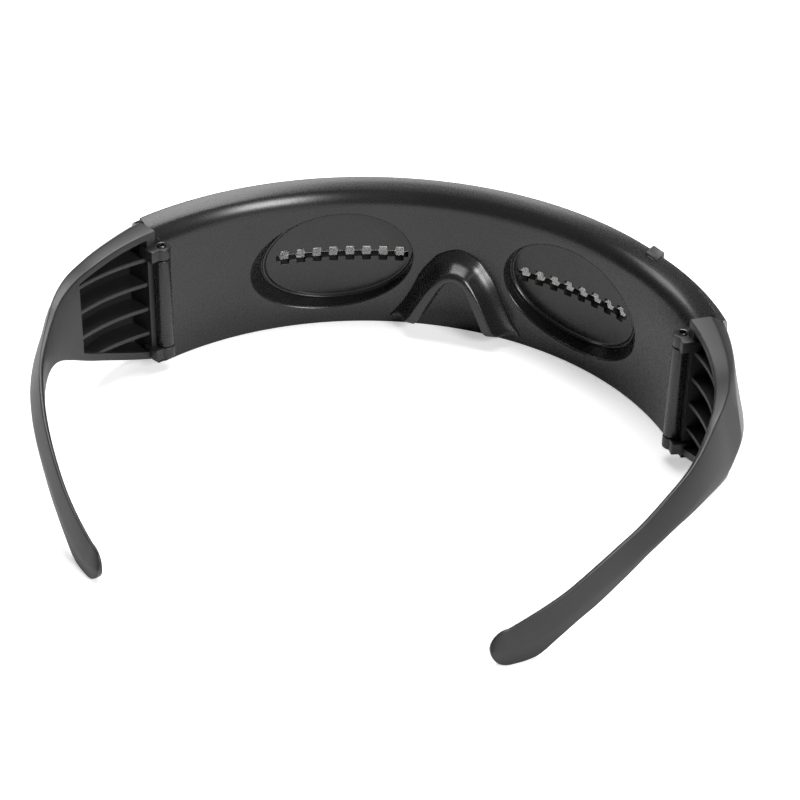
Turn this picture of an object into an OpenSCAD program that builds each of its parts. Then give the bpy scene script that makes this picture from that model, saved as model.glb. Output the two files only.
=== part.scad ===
// Light-up party glasses: a curved visor shell that stands on its lower edge, two glossy eye
// plates with a toothed slot each, a light front lens, two hinged temples and the lamp parts inside.
// Units are millimetres. +Z is up and +Y points out of the front lens.

/* [Visor wall] */
// radius of the wall's rear face about the upright visor axis
wall_radius = 75; // [70:0.5:82]
// thickness of the moulded wall
wall_thickness = 1.5; // [1.2:0.1:2.2]
// drop from the rim to where the wall starts to lean forward
wall_drop = 5.5; // [4:0.1:8]
// half of the angle that the visor covers
visor_half_angle = 63.3; // [60:0.1:65]
// drop from the rim to the crease above the shoulder
crease_drop = 2; // [1.4:0.1:2.8]
// how far the crease lies in front of the wall's rear face
crease_reach = 2.2; // [1.6:0.1:3]
// height of the rim ridge, the highest line of the shell
rim_height = 40.3; // [39.8:0.1:42]
// how far the rim ridge lies in front of the wall's rear face
rim_reach = 5.3; // [4.8:0.1:6]
// depth of the rim lip below the ridge
rim_lip_depth = 4.3; // [3.6:0.1:5]
// height of the lip at the shell's lower edge
foot_lip_height = 4; // [3:0.1:5]

/* [Front lens] */
// gap between the lens ledges and the shell's lips
lens_gap = 0.3; // [0.2:0.05:0.5]
// width of the lens ledges from their inner edge to the lens front
lens_ledge_width = 2.7; // [2.4:0.1:3.2]
// thickness of the lens
lens_thickness = 1.7; // [1.2:0.1:2]
// how far the lens bulges in front of its upper edge
lens_bulge = 1.3; // [0.6:0.1:1.6]
// drop from the shell's rim to the lens's top ledge
lens_drop = 2.6; // [2:0.1:3.4]
// height of the lens's lower edge above the table
lens_bottom = 1; // [0.6:0.1:1.6]
// how far the lower edge sits behind the upper edge
lens_tuck = 0.5; // [0.2:0.1:0.9]

/* [Eye recess and eye plate] */
// distance of each eye's centre from the middle, seen straight from behind
eye_shift = 30.3; // [29.8:0.1:31]
// height of the eye's centre
eye_height = 18.4; // [18.2:0.1:18.8]
// drop of each eye's outer end, in degrees
eye_tilt = 9; // [6:0.5:10]
// half width of the recess, seen straight from behind
recess_half_width = 18.75; // [18:0.05:19]
// half height of the recess, seen straight from behind
recess_half_height = 13.4; // [12.8:0.1:13.6]
// lean of the recess walls from front to back, in degrees
recess_draft = 6.5; // [4:0.5:8]
// depth from the wall's rear face to the eye plate
plate_depth = 4.4; // [4:0.1:4.5]
// thickness of the eye plate
plate_thickness = 1.2; // [1.1:0.1:1.3]
// thickness of the collar round the recess
collar_thickness = 1.7; // [1.6:0.1:1.8]
// how far the eye plate reaches past the recess
plate_margin = 1.9; // [1.8:0.1:2]
// gap between the plate and the collar in front of it
plate_gap = 0.3; // [0.2:0.05:0.4]
// radius of the moulded pegs that hold the plates
stake_radius = 0.55; // [0.5:0.05:0.6]
// radial clearance of a peg in its hole
stake_clearance = 0.1; // [0.05:0.05:0.15]
// radius of the melted peg heads
stake_head_radius = 1; // [0.9:0.1:1.2]

/* [Toothed slot] */
// angle of the slot's centre from the middle of the visor
slot_angle = 23.2; // [22.8:0.1:23.6]
// height of the slot's centre
slot_height = 18.3; // [18:0.05:18.8]
// height of the narrow slot between two notches
slot_gap = 1.6; // [1.2:0.1:2]
// height of a notch from end to end
notch_height = 3.9; // [3:0.1:4.4]
// width of a notch
notch_width = 2.2; // [1.8:0.1:2.6]
// number of notches in one slot
notch_count = 8; // [6:1:8]
// angle from one notch to the next
notch_pitch = 3.12; // [3:0.02:3.2]
// angle that the slot runs past the outer notches
slot_overrun = 1.65; // [1.4:0.05:1.8]

/* [Lamp boards] */
// thickness of the flexible lamp board
board_film = 0.5; // [0.4:0.05:0.55]
// gap between the eye plate and the lamp board
board_gap = 0.25; // [0.2:0.05:0.3]
// height of the lamp board
board_height = 11.6; // [11:0.1:13]
// angle that the lamp board runs past the slot
board_overrun = 1.2; // [0.8:0.1:2]
// extra opening of the board round the slot
board_relief = 0.4; // [0.2:0.1:0.6]
// width of one lamp along the board
lamp_width = 2; // [1.6:0.1:2.2]
// height of one lamp
lamp_height = 1.25; // [1:0.05:1.6]
// thickness of one lamp
lamp_thickness = 0.6; // [0.5:0.05:0.65]
// distance of the lamp rows from the slot's centre
lamp_offset = 4; // [3.6:0.1:4.4]
// solder height below parts on the boards
solder_gap = 0.1; // [0.05:0.05:0.2]

/* [Nose bridge] */
// half width of the bridge on the wall, at the table
nose_half_width = 19.1; // [17:0.1:20]
// height of the bridge on the wall
nose_height = 23.7; // [22:0.1:25]
// radius of the bridge's top on the wall
nose_round = 8; // [6:0.5:9]
// half width of the bridge's crest at the table
crest_half_width = 13.7; // [13:0.1:15]
// height of the bridge's crest
crest_height = 19.2; // [18.5:0.1:20.5]
// half width of the notch for the nose at the crest
notch_half_width = 11.5; // [11:0.1:12.4]
// height of the notch for the nose at the crest
nose_notch_height = 17.1; // [15:0.1:17.6]
// how far the notch narrows towards the wall
nose_notch_draft = 1.2; // [0.8:0.1:2]
// how far the crest stands out behind the wall at its top
crest_reach_top = 6.2; // [5:0.1:8]
// how far the crest stands out behind the wall at its feet
crest_reach_foot = 8.4; // [7:0.1:10]
// height of the bridge's feet above the table
nose_foot_height = 2.3; // [1.5:0.1:3]

/* [Hinges] */
// distance of the hinge axis behind the wall's rear face
hinge_inset = 1.97; // [1.8:0.01:2.2]
// angle from the visor's end back to the hinge axis
hinge_setback = 0.43; // [0.3:0.01:0.6]
// radius of the hinge pin
pin_radius = 0.8; // [0.7:0.05:1]
// radial clearance of the pin in its holes
pin_clearance = 0.05; // [0.02:0.01:0.1]
// radius of the shell's knuckle
knuckle_radius = 2.1; // [1.9:0.05:2.3]
// height of the knuckle's lower end
knuckle_bottom = 6.8; // [6:0.1:8]
// drop from the shell's rim to the knuckle's upper end
knuckle_drop = 8.9; // [8:0.1:11]
// radius of the temple's two hinge lugs
lug_radius = 2.2; // [2:0.05:2.4]
// height of a hinge lug
lug_height = 3.1; // [2.8:0.1:3.6]
// gap between a lug and the knuckle
lug_gap = 0.25; // [0.2:0.05:0.4]
// clearance of the lugs in the shell's pockets
pocket_clearance = 0.45; // [0.35:0.05:0.6]
// radius of the pin's rolled head
pin_head_radius = 1.25; // [1.1:0.05:1.5]
// height of the pin's head
pin_head_height = 0.5; // [0.3:0.1:0.8]

/* [Temples] */
// gap between the temple's front end and the visor's end
temple_gap = 0.35; // [0.3:0.05:0.6]
// distance of the temple's tip behind the hinge axis
temple_reach = 88.9; // [86:0.1:92]
// distance of the tip towards the middle from the hinge axis
tip_inset = 21.2; // [20:0.1:22]
// direction of the tip, degrees off the straight-back line
tip_turn = 45; // [42:1:50]
// radius of the rounded tip in side view
tip_round = 4.3; // [3.8:0.1:4.6]
// radius of the temple's outer bow
bow_radius = 50; // [49.4:0.1:51]
// radius of the temple's inner bow
inner_bow_radius = 51.1; // [50:0.1:51.6]
// radius of the blade's outer face behind the bow
blade_radius = 94; // [88:1:100]
// radius of the blade's inner face behind the bow
inner_blade_radius = 88; // [84:1:94]
// turn of the outer bow at which the blade starts
blade_angle = 15; // [12:0.5:18]
// turn of the inner bow at which the blade starts
inner_blade_angle = 25; // [22:0.5:28]
// thickness of the skin behind the temple's window
temple_skin = 1.6; // [1.2:0.1:2]
// width of the frame round the window
frame_width = 2.2; // [1.8:0.1:2.8]
// distance of the window's far edge behind the hinge axis
window_reach = 23.2; // [21:0.1:25]
// thickness of the ribs across the window
rib_thickness = 1.2; // [1:0.1:1.6]
// height of the lowest rib at the window's front
rib_start = 9.4; // [9:0.1:10]
// height from one rib to the next
rib_pitch = 7; // [6.6:0.1:7.1]
// rise of the ribs over the window's length
rib_rise = 1.8; // [1:0.1:2.2]

/* [Button] */
// angle of the button from the middle of the visor
button_angle = 41.5; // [41:0.1:42]
// width of the button along the rim
button_width = 4.3; // [3.8:0.1:4.6]
// distance of the button's rear side in front of the wall's rear face
button_reach = 3.6; // [3.4:0.1:3.8]
// width of the button across the rim
button_depth = 2.4; // [2.2:0.1:2.6]
// rise of the button's front edge above the rim
button_rise = 0.7; // [0.6:0.1:1.1]
// height that the button's face drops towards the wearer
button_slope = 1.2; // [0.8:0.1:1.4]
// travel of the button
button_travel = 0.5; // [0.4:0.05:0.6]
// clearance of the button in its hole
button_clearance = 0.15; // [0.1:0.05:0.25]
// width of the button's neck
button_neck = 2.4; // [2:0.1:2.8]
// how far the button's flange reaches past its neck
button_flange = 0.9; // [0.7:0.1:1]

/* [Control board] */
// angle of the control board's centre
board_angle = 48.5; // [48:0.1:49]
// half width of the board on the visor's outer side
board_outer_half = 8; // [7:0.1:9]
// reach of the board's tongue under the button
tongue_reach = 13.4; // [13:0.1:13.6]
// reach of the board's body towards the eye
body_reach = 7; // [6:0.1:8]
// thickness of the board
board_thickness = 0.8; // [0.6:0.1:1]
// gap between the board's lower edge and the shell's lower lip
board_rise = 0.6; // [0.3:0.1:2]
// drop from the rim to the board's upper edge
board_drop = 6.9; // [6.3:0.1:8]
// height of the tongue
tongue_height = 5.4; // [4:0.2:7]
// distance of the board's rear face in front of the wall's rear face
board_reach = 4.2; // [4.1:0.05:4.3]
// width of the push switch
switch_width = 4.2; // [3.6:0.1:4.6]
// thickness of the push switch
switch_thickness = 1.6; // [1.4:0.1:1.7]
// height of the push switch
switch_height = 3.4; // [3:0.1:3.6]
// width of the charging socket
socket_width = 7.5; // [7:0.1:8.2]
// thickness of the charging socket
socket_thickness = 2.4; // [2.2:0.1:2.5]
// depth of the charging socket
socket_depth = 5.2; // [4.6:0.1:6]
// wall thickness of the charging socket
socket_wall = 0.3; // [0.25:0.05:0.4]

/* [Battery and leads] */
// angle of the battery from the middle of the visor
battery_angle = 52.3; // [51.5:0.1:53]
// width of the battery
battery_width = 16; // [14:0.2:17]
// height of the battery
battery_height = 24; // [20:0.5:26]
// thickness of the battery
battery_thickness = 3.2; // [2.6:0.1:3.4]
// radius of a lead
lead_radius = 0.4; // [0.3:0.05:0.45]
// drop from the rim to the lower battery lead
lead_drop_height = 6.8; // [6.5:0.1:6.9]

/* [Hidden] */
$fn = 96;
ring = 360;
reach_far = 200;
tiny = 0.05;

// shell radii and lens radii, all about the visor axis
wall_front = wall_radius + wall_thickness;
wall_height = rim_height - wall_drop;
crease_height = rim_height - crease_drop;
lens_top = rim_height - lens_drop;
crease_radius = wall_radius + crease_reach;
rim_radius = wall_radius + rim_reach;
lip_rear = rim_radius - wall_thickness;
shoulder_round = ((crease_height - wall_height) * (crease_height - wall_height)
                  + crease_reach * crease_reach) / (2 * crease_reach);
shoulder_sweep = asin((crease_height - wall_height) / shoulder_round);
ledge_rear = rim_radius + lens_gap;
lens_radius = ledge_rear + lens_ledge_width;
lens_middle = (lens_top + lens_bottom) / 2;
lens_rear = lens_radius - lens_thickness;
visor_front = lens_radius + lens_bulge;
end_wall_angle = wall_thickness / wall_radius * 180 / PI;

// eye plate and lamp board radii
plate_rear = wall_radius + plate_depth;
plate_front = plate_rear + plate_thickness;
film_rear = plate_front + board_gap;
film_front = film_rear + board_film;
lamp_rear = film_front + solder_gap;
eye_angle = asin(eye_shift / plate_rear);
// distance from the visor axis at which the recess has its stated size
eye_depth = 68;
recess_near = 50;
tube_sides = 48;
// extra width of the collar, for the wide end of the drafted recess
collar_spread = 0.9;
recess_lean = tan(recess_draft);
stake_turns = [50, 140, 230, 320];
stake_length = 0.15;
stake_head_height = 0.5;
stake_end = plate_front + stake_length;
slot_half = notch_pitch * (notch_count - 1) / 2 + slot_overrun;
notch_sweep = notch_width / plate_rear * 180 / PI;

// nose bridge
bell_steps = 16;
crest_round = 4.6;
notch_round = 3.5;

// hinge axis and the frame's origin
hinge_radius = wall_radius - hinge_inset;
hinge_angle = visor_half_angle - hinge_setback;
hinge_x = hinge_radius * sin(hinge_angle);
hinge_y = hinge_radius * cos(hinge_angle);
mid_y = (visor_front + hinge_y - temple_reach) / 2;
pin_hole = pin_radius + pin_clearance;
knuckle_top = rim_height - knuckle_drop;
lug_low = knuckle_bottom - lug_gap - lug_height;
lug_high = knuckle_top + lug_gap;
pin_foot = lug_low + pin_head_height / 2;
pin_seat = lug_high + lug_height;
pocket_radius = lug_radius + pocket_clearance;

// temple bows, as centres measured from the hinge axis
bow_centre = [-31.4, -25.1];
inner_centre = [-38.9, -31.6];
bow_lean = [[0, 25], [1.7, 31.5], [3, 35], [4, 36.9]];
front_facet = [[9.7, 3, 38.6], 12, 8];
low_facet = [[18.5, -26, 25.7], -3, -11.3];
// the bow runs a little into the blade, so that they are one solid
bow_overlap = 6;
blade_sweep = 80;
tip_start = tip_inset * sin(tip_turn) + temple_reach * cos(tip_turn) - tip_round;
temple_top = [[12, 40.4], [5, 39.55], [-7, 38.1], [-16.3, 36.9], [-22, 36.4], [-27.4, 35.7],
              [-33.3, 34.4], [-37.4, 32.5], [-41.5, 30.7], [-46, 29.1], [-52.7, 27], [-57.6, 24.9],
              [-62.1, 22.8], [-66, 21.1], [-70.6, 18.5], [-76.4, 14.4], [-82.2, 10.5], [-85, 8.7],
              [-temple_reach - 3, 8.55]];
temple_low = [[-temple_reach - 3, 0], [-84.2, 0], [-82.4, 0.6], [-79.6, 3.4], [-76.2, 6.4],
              [-72.5, 9.1], [-68.7, 12], [-64.2, 15.1], [-61.6, 16.7], [-57.5, 18.4],
              [-53.4, 19.6], [-49, 20.4],
              [-44.7, 20.7], [-42.1, 20.9], [-38.8, 20.3], [-33.9, 18.8], [-26.9, 14.9],
              [-20.9, 11.4], [-15.6, 8.7], [-10.7, 6.3], [-6.5, 4.4], [0, 2.1], [12, 2.1]];
window_edge = [[4, 36.8], [4, 2.2], [-3.3, 5], [-15.1, 11], [-23.2, 16.1], [-23.2, 34.4]];
rib_recess = 0.6;
rib_heights = [0:3];
lug_arm = 3.2;
lug_root = temple_gap + hinge_radius * sin(hinge_setback) + 0.3;
lug_step = 0.15;
temple_roof = 42;

// control board faces, measured along the board's own normal
panel_rear = wall_radius + board_reach;
board_bottom = foot_lip_height + board_rise;
board_top = rim_height - board_drop;
tongue_bottom = board_top - tongue_height;
button_top = rim_height + button_rise;
panel_front = panel_rear + board_thickness;
switch_shift = panel_rear * tan(board_angle - button_angle);
switch_front = panel_rear - solder_gap;
switch_middle = switch_front - switch_thickness / 2;
switch_rise = 1.5;
switch_base = board_top - switch_height + switch_rise;
plunger_width = 2.2;
plunger_thickness = 0.9;
plunger_rise = 0.9;
plunger_depth = 1.4;
plunger_top = switch_base + switch_height + plunger_rise;
plunger_foot = switch_base + switch_height - plunger_depth;
neck_radius = sqrt(switch_middle * switch_middle + switch_shift * switch_shift);
neck_half = 0.6;
flange_side = 0.35;
flange_base = plunger_top + tiny;
flange_top = flange_base + 0.7;
seat_top = flange_top + 0.3;
cap_base = seat_top + 1.4 + button_travel + button_clearance;
cap_rear = wall_radius + button_reach;
resistor_rows = [[12, 4], [22.4, 3]];
resistor_start = -5.6;
resistor_pitch = 2.1;
resistor_width = 1.2;
resistor_height = 1.6;
resistor_thickness = 0.6;
coil_base = 27;
chip_half = 2.4;
chip_base = 16;
chip_height = 4;
chip_thickness = 1.4;
screw_radius = 0.7;
screw_head_radius = 1.4;
screw_head_height = 0.8;
screw_heights = [10.5, 25.5];
screw_shift = 5.2;
screw_grip = 1.8;
boss_radius = 1.9;
socket_base = 1.8;
socket_shift = -1.4;
port_clearance = 0.4;
port_half = socket_width / 2 + port_clearance;

// battery and leads
lead_height = rim_height - lead_drop_height;
battery_rear = wall_front + plate_gap;
battery_base = 4.4;
lead_track = lip_rear + lead_radius + 0.25;
lead_spacing = 1.1;
lead_end = board_angle - atan(tongue_reach / panel_rear) + 0.1;
battery_tab = 1.6;
battery_top = battery_base + battery_height + battery_tab;
lamp_lead_track = film_rear + board_film / 2;
lamp_lead_end = slot_height + board_height / 2 + solder_gap;
lead_clearance = 0.4;
plate_top = lead_height - lead_radius - lead_clearance;
plate_bottom = foot_lip_height + plate_gap;

black = [0.03, 0.03, 0.032];

// shapes used by more than one node
function arc(cx, cy, r, a0, a1, n) =
    [for (i = [0:n]) [cx + r * cos(a0 + (a1 - a0) * i / n), cy + r * sin(a0 + (a1 - a0) * i / n)]];
function ellipse_points(a, b, n) = [for (i = [0:n - 1]) [a * cos(ring * i / n), b * sin(ring * i / n)]];
// angle of the tangent point where a straight flank meets the bell's round top
function bell_angle(w, h, r) =
    asin(r / norm([w, h - r])) + 90 - atan2(h - r, w);
function bell_points(w, h, r, n) = concat([[-w, -4], [w, -4], [w, 0]],
    arc(0, h - r, r, bell_angle(w, h, r), 180 - bell_angle(w, h, r), n), [[-w, 0]]);

// puts a node from the visor's frame, where the visor axis is the origin, into the part's frame
module placed() translate([0, -mid_y, 0]) children();

module mirrored() mirror([1, 0, 0]) children();

// turns a profile of radius and height through the given half angle, both sides of the front
module sector(half_angle, middle = 0)
    rotate([0, 0, 90 - half_angle - middle]) rotate_extrude(angle = 2 * half_angle) children();

// faces outward along the radius at an angle to the right of the front
module facing(angle) rotate([0, 0, -angle]) children();

// lifts a drawing of width and height on to an upright plane, its extrusion running outward
module upright(reach, thickness)
    translate([0, reach, 0]) rotate([90, 0, 0]) mirror([0, 0, 1]) linear_extrude(thickness) children();

module block(x0, x1, y0, y1, z0, z1) translate([x0, y0, z0]) cube([x1 - x0, y1 - y0, z1 - z0]);

// ring between two radii and two heights
module band(half_angle, r0, r1, z0, z1, middle = 0)
    sector(half_angle, middle) translate([r0, z0]) square([r1 - r0, z1 - z0]);

// the recess as a tube that runs straight forwards and narrows by its draft
module eye_tube(grow, y0, y1)
    translate([eye_shift, 0, eye_height]) rotate([0, eye_tilt, 0]) hull()
        for (y = [y0, y1]) upright(y, tiny)
            polygon(ellipse_points(recess_half_width + grow - (y - eye_depth) * recess_lean,
                                   recess_half_height + grow - (y - eye_depth) * recess_lean, tube_sides));

// the slot with its notches, as a solid to cut with; relief widens it all round
module slot_teeth(r0, r1, relief) {
    spread = relief / plate_rear * 180 / PI;
    band(slot_half + spread, r0, r1, slot_height - slot_gap / 2 - relief,
         slot_height + slot_gap / 2 + relief, slot_angle);
    for (i = [0:notch_count - 1])
        band(notch_sweep / 2 + spread, r0, r1, slot_height - notch_height / 2 - relief,
             slot_height + notch_height / 2 + relief,
             slot_angle + (i - (notch_count - 1) / 2) * notch_pitch);
}

// rear shell
module shell_profile() {
    polygon(concat(
        [[wall_radius, 0]],
        arc(wall_radius + shoulder_round, wall_height, shoulder_round, 180, 180 - shoulder_sweep, 4),
        [[rim_radius, rim_height], [rim_radius, 0]]));
}

// the space in the shell between its wall and its two lips
module shell_hollow() {
    polygon([[rim_radius + 1, rim_height - rim_lip_depth], [lip_rear, rim_height - rim_lip_depth],
             [lip_rear, rim_height - wall_thickness - 1.2],
             [crease_radius + 0.7, crease_height - 1.2],
             [wall_front, wall_height - 0.3],
             [wall_front, wall_thickness], [lip_rear, wall_thickness], [lip_rear, foot_lip_height],
             [rim_radius + 1, foot_lip_height]]);
}

module recess_cut() eye_tube(0, recess_near, plate_front + 1);

module eye_collar()
    translate([eye_shift, 0, eye_height]) rotate([0, eye_tilt, 0])
        upright(recess_near + 1, plate_front + 2 - recess_near)
            polygon(ellipse_points(recess_half_width + collar_thickness + collar_spread,
                                   recess_half_height + collar_thickness, 60));

// a peg through the ring where the plate overlaps the collar
module stakes(r0, r1, radius) {
    for (t = stake_turns) {
        guess = eye_shift + recess_half_width * cos(t);
        depth = sqrt(plate_rear * plate_rear - guess * guess);
        grow = collar_thickness / 2 - (depth - eye_depth) * recess_lean;
        across = (recess_half_width + grow) * cos(t);
        up = (recess_half_height + grow) * sin(t);
        x = eye_shift + across * cos(eye_tilt) + up * sin(eye_tilt);
        facing(asin(x / plate_rear))
            translate([0, r0, eye_height + up * cos(eye_tilt) - across * sin(eye_tilt)]) rotate([-90, 0, 0])
                cylinder(h = r1 - r0, r = radius);
    }
}

module nose_bridge() {
    tilt = atan((crest_reach_foot - crest_reach_top) / (crest_height - nose_foot_height));
    crest_plane = wall_radius - crest_reach_top;
    difference() {
        intersection() {
            hull() {
                upright(wall_radius + 0.4, tiny)
                    polygon(bell_points(nose_half_width, nose_height, nose_round, bell_steps));
                translate([0, crest_plane, crest_height]) rotate([-tilt, 0, 0])
                    translate([0, 0, -crest_height]) upright(0, tiny)
                        polygon(bell_points(crest_half_width, crest_height, crest_round, bell_steps));
            }
            translate([0, 0, nose_foot_height]) cylinder(h = nose_height, r = wall_radius + 0.7);
        }
        hull() {
            upright(wall_radius, tiny)
                polygon(bell_points(notch_half_width - nose_notch_draft,
                                    nose_notch_height - nose_notch_draft, notch_round - 0.3, bell_steps));
            upright(crest_plane - crest_reach_foot, tiny)
                polygon(bell_points(notch_half_width + 0.4, nose_notch_height + 0.4,
                                    notch_round, bell_steps));
        }
    }
}

module hinge_half_shell() {
    difference() {
        union() {
            translate([hinge_x, hinge_y, knuckle_bottom])
                cylinder(h = knuckle_top - knuckle_bottom, r = knuckle_radius);
            facing(hinge_angle)
                block(-knuckle_radius, 0.3, hinge_radius, wall_radius + 0.5, knuckle_bottom, knuckle_top);
        }
        facing(visor_half_angle) block(0, reach_far, 0, reach_far, -1, rim_height);
    }
}

module lug_pocket() {
    for (z = [[-1, knuckle_bottom], [knuckle_top, knuckle_top + 2 * lug_height + 1.4]])
        translate([hinge_x, hinge_y, z[0]]) cylinder(h = z[1] - z[0], r = pocket_radius);
}

module button_seat() {
    c = button_clearance;
    cap = button_width / 2 + c;
    neck = button_neck / 2 + c;
    flange = neck + button_flange + c;
    facing(button_angle) {
        block(-cap, cap, cap_rear - c, rim_radius + 1, cap_base - button_travel - c, rim_height + 1);
        block(-neck, neck, neck_radius - neck_half - c, neck_radius + neck_half + c,
              seat_top - 1, cap_base + 1);
        block(-flange, flange, neck_radius - neck_half - flange_side - 2 * c,
              neck_radius + neck_half + flange_side + 2 * c, rim_height - rim_lip_depth - 1, seat_top);
    }
}

module rear_shell() color(black) placed() {
    shell_body();
    difference() {
        nose_bridge();
        for (s = [0, 1]) mirror([s, 0, 0]) translate([0, 0.2, 0]) recess_cut();
    }
    for (s = [0, 1]) mirror([s, 0, 0]) {
        stakes(wall_front, stake_end, stake_radius);
        stakes(stake_end, stake_end + stake_head_height, stake_head_radius);
    }
}

module shell_body() difference() {
    union() {
        difference() {
            sector(visor_half_angle) shell_profile();
            sector(visor_half_angle - end_wall_angle) shell_hollow();
        }
        for (s = [0, 1]) mirror([s, 0, 0]) {
            intersection() {
                eye_collar();
                band(visor_half_angle, wall_radius + wall_thickness / 2, plate_rear - plate_gap,
                     1, plate_top);
            }
            hinge_half_shell();
        }
        facing(board_angle) for (z = screw_heights) translate([screw_shift, wall_radius + tiny, z])
            rotate([-90, 0, 0]) cylinder(h = board_reach - tiny, r = boss_radius);
    }
    for (s = [0, 1]) mirror([s, 0, 0]) {
        recess_cut();
        lug_pocket();
        translate([hinge_x, hinge_y, -1]) cylinder(h = knuckle_top + 2, r = pin_hole);
    }
    button_seat();
    facing(board_angle) {
        for (z = screw_heights) translate([screw_shift, wall_front, z])
            rotate([-90, 0, 0]) cylinder(h = board_reach, r = screw_radius - 0.1);
        block(socket_shift - port_half, socket_shift + port_half,
              switch_front - socket_thickness - port_clearance, switch_front + port_clearance,
              -1, wall_thickness + 1);
        block(socket_shift - port_half, socket_shift + port_half, switch_front - 1,
              switch_front + port_clearance, wall_thickness, foot_lip_height + 1);
    }
}

// eye plates
module eye_plate() {
    difference() {
        intersection() {
            band(30, plate_rear, plate_front, plate_bottom, plate_top, eye_angle);
            eye_tube(plate_margin, recess_near, plate_front + 2);
        }
        slot_teeth(plate_rear - 1, plate_front + 1, 0);
        stakes(plate_rear - 1, plate_front + 1, stake_radius + stake_clearance);
    }
}

module eye_plate_right() color(black) placed() eye_plate();
module eye_plate_left() color(black) placed() mirrored() eye_plate();

// lamp boards and lamps
module lamp_board() {
    half = slot_half + board_overrun;
    difference() {
        band(half, film_rear, film_front, slot_height - board_height / 2,
             slot_height + board_height / 2, slot_angle);
        slot_teeth(film_rear - 1, film_front + 1, board_relief);
    }
}

module lamps() {
    for (i = [0:notch_count - 1], s = [-1, 1])
        facing(slot_angle + (i - (notch_count - 1) / 2) * notch_pitch)
            block(-lamp_width / 2, lamp_width / 2, lamp_rear, lamp_rear + lamp_thickness,
                  slot_height + s * lamp_offset - lamp_height / 2,
                  slot_height + s * lamp_offset + lamp_height / 2);
}

module lamp_board_right() color([0.05, 0.05, 0.05]) placed() lamp_board();
module lamp_board_left() color([0.05, 0.05, 0.05]) placed() mirrored() lamp_board();
module lamps_right() color([0.95, 0.9, 0.6]) placed() lamps();
module lamps_left() color([0.95, 0.9, 0.6]) placed() mirrored() lamps();

// front lens
module lens_profile() {
    low = lens_radius - lens_tuck;
    polygon([[ledge_rear, lens_bottom], [ledge_rear, lens_top], [lens_radius, lens_top],
             [lens_radius + lens_bulge * 0.7, lens_top - 8], [visor_front, lens_middle],
             [low + lens_bulge * 0.7, lens_bottom + 8], [low, lens_bottom]]);
}

module lens_hollow() {
    low = lens_radius - lens_tuck;
    polygon([[ledge_rear - 1, lens_bottom + lens_thickness], [ledge_rear - 1, lens_top - lens_thickness],
             [lens_rear + lens_bulge * 0.2, lens_top - lens_thickness],
             [visor_front - lens_thickness, lens_middle],
             [low - lens_thickness + lens_bulge * 0.2, lens_bottom + lens_thickness]]);
}

module front_lens() color([0.85, 0.86, 0.86]) placed() difference() {
    sector(visor_half_angle) lens_profile();
    sector(visor_half_angle - end_wall_angle) lens_hollow();
}

// control board, its parts and the button
module control_board() color([0.05, 0.3, 0.12]) placed() facing(board_angle) difference() {
    upright(panel_rear, board_thickness)
        polygon([[-body_reach, board_bottom], [board_outer_half, board_bottom],
                 [board_outer_half, board_top], [-tongue_reach, board_top],
                 [-tongue_reach, tongue_bottom], [-body_reach, tongue_bottom - 3]]);
    for (z = screw_heights) translate([screw_shift, panel_rear - 1, z])
        rotate([-90, 0, 0]) cylinder(h = board_thickness + 2, r = screw_radius + 0.1);
}

module board_screws() color([0.7, 0.7, 0.72]) placed() facing(board_angle)
    for (z = screw_heights) translate([screw_shift, 0, z]) rotate([-90, 0, 0]) {
        translate([0, 0, panel_front]) cylinder(h = screw_head_height, r = screw_head_radius);
        translate([0, 0, panel_rear - screw_grip])
            cylinder(h = board_thickness + screw_grip, r = screw_radius - 0.15);
    }

module control_chip() color(black) placed() facing(board_angle)
    block(-chip_half, chip_half, switch_front - chip_thickness, switch_front,
          chip_base, chip_base + chip_height);

module board_components() color([0.75, 0.7, 0.6]) placed() facing(board_angle) {
    for (row = resistor_rows, i = [0:row[1] - 1])
        block(resistor_start + resistor_pitch * i, resistor_start + resistor_pitch * i + resistor_width,
              switch_front - resistor_thickness, switch_front, row[0], row[0] + resistor_height);
    block(resistor_start, resistor_start + 2 * resistor_width, switch_front - 2 * resistor_thickness,
          switch_front, coil_base, coil_base + resistor_height + resistor_thickness);
}

module tact_switch() color([0.6, 0.6, 0.62]) placed() facing(board_angle) difference() {
    block(-switch_shift - switch_width / 2, -switch_shift + switch_width / 2,
          switch_front - switch_thickness, switch_front, switch_base, switch_base + switch_height);
    block(-switch_shift - plunger_width / 2 - tiny, -switch_shift + plunger_width / 2 + tiny,
          switch_middle - plunger_thickness / 2 - tiny, switch_middle + plunger_thickness / 2 + tiny,
          plunger_foot - button_travel - tiny, switch_base + switch_height + 1);
}

module tact_plunger() color(black) placed() facing(board_angle)
    block(-switch_shift - plunger_width / 2, -switch_shift + plunger_width / 2,
          switch_middle - plunger_thickness / 2, switch_middle + plunger_thickness / 2,
          plunger_foot, plunger_top);

module button_key() color([0.05, 0.05, 0.05]) placed() facing(button_angle) {
    w = button_width / 2;
    neck = button_neck / 2;
    flange = neck + button_flange;
    translate([-w, 0, 0]) rotate([90, 0, 90]) linear_extrude(button_width)
        polygon([[cap_rear, cap_base], [cap_rear + button_depth, cap_base],
                 [cap_rear + button_depth, button_top - 0.3], [cap_rear + button_depth - 0.3, button_top],
                 [cap_rear + 0.4, button_top - button_slope], [cap_rear, button_top - button_slope - 0.4]]);
    block(-neck, neck, neck_radius - neck_half, neck_radius + neck_half, flange_base, cap_base + 0.1);
    block(-flange, flange, neck_radius - neck_half - flange_side, neck_radius + neck_half + flange_side,
          flange_base, flange_top);
}

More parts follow.
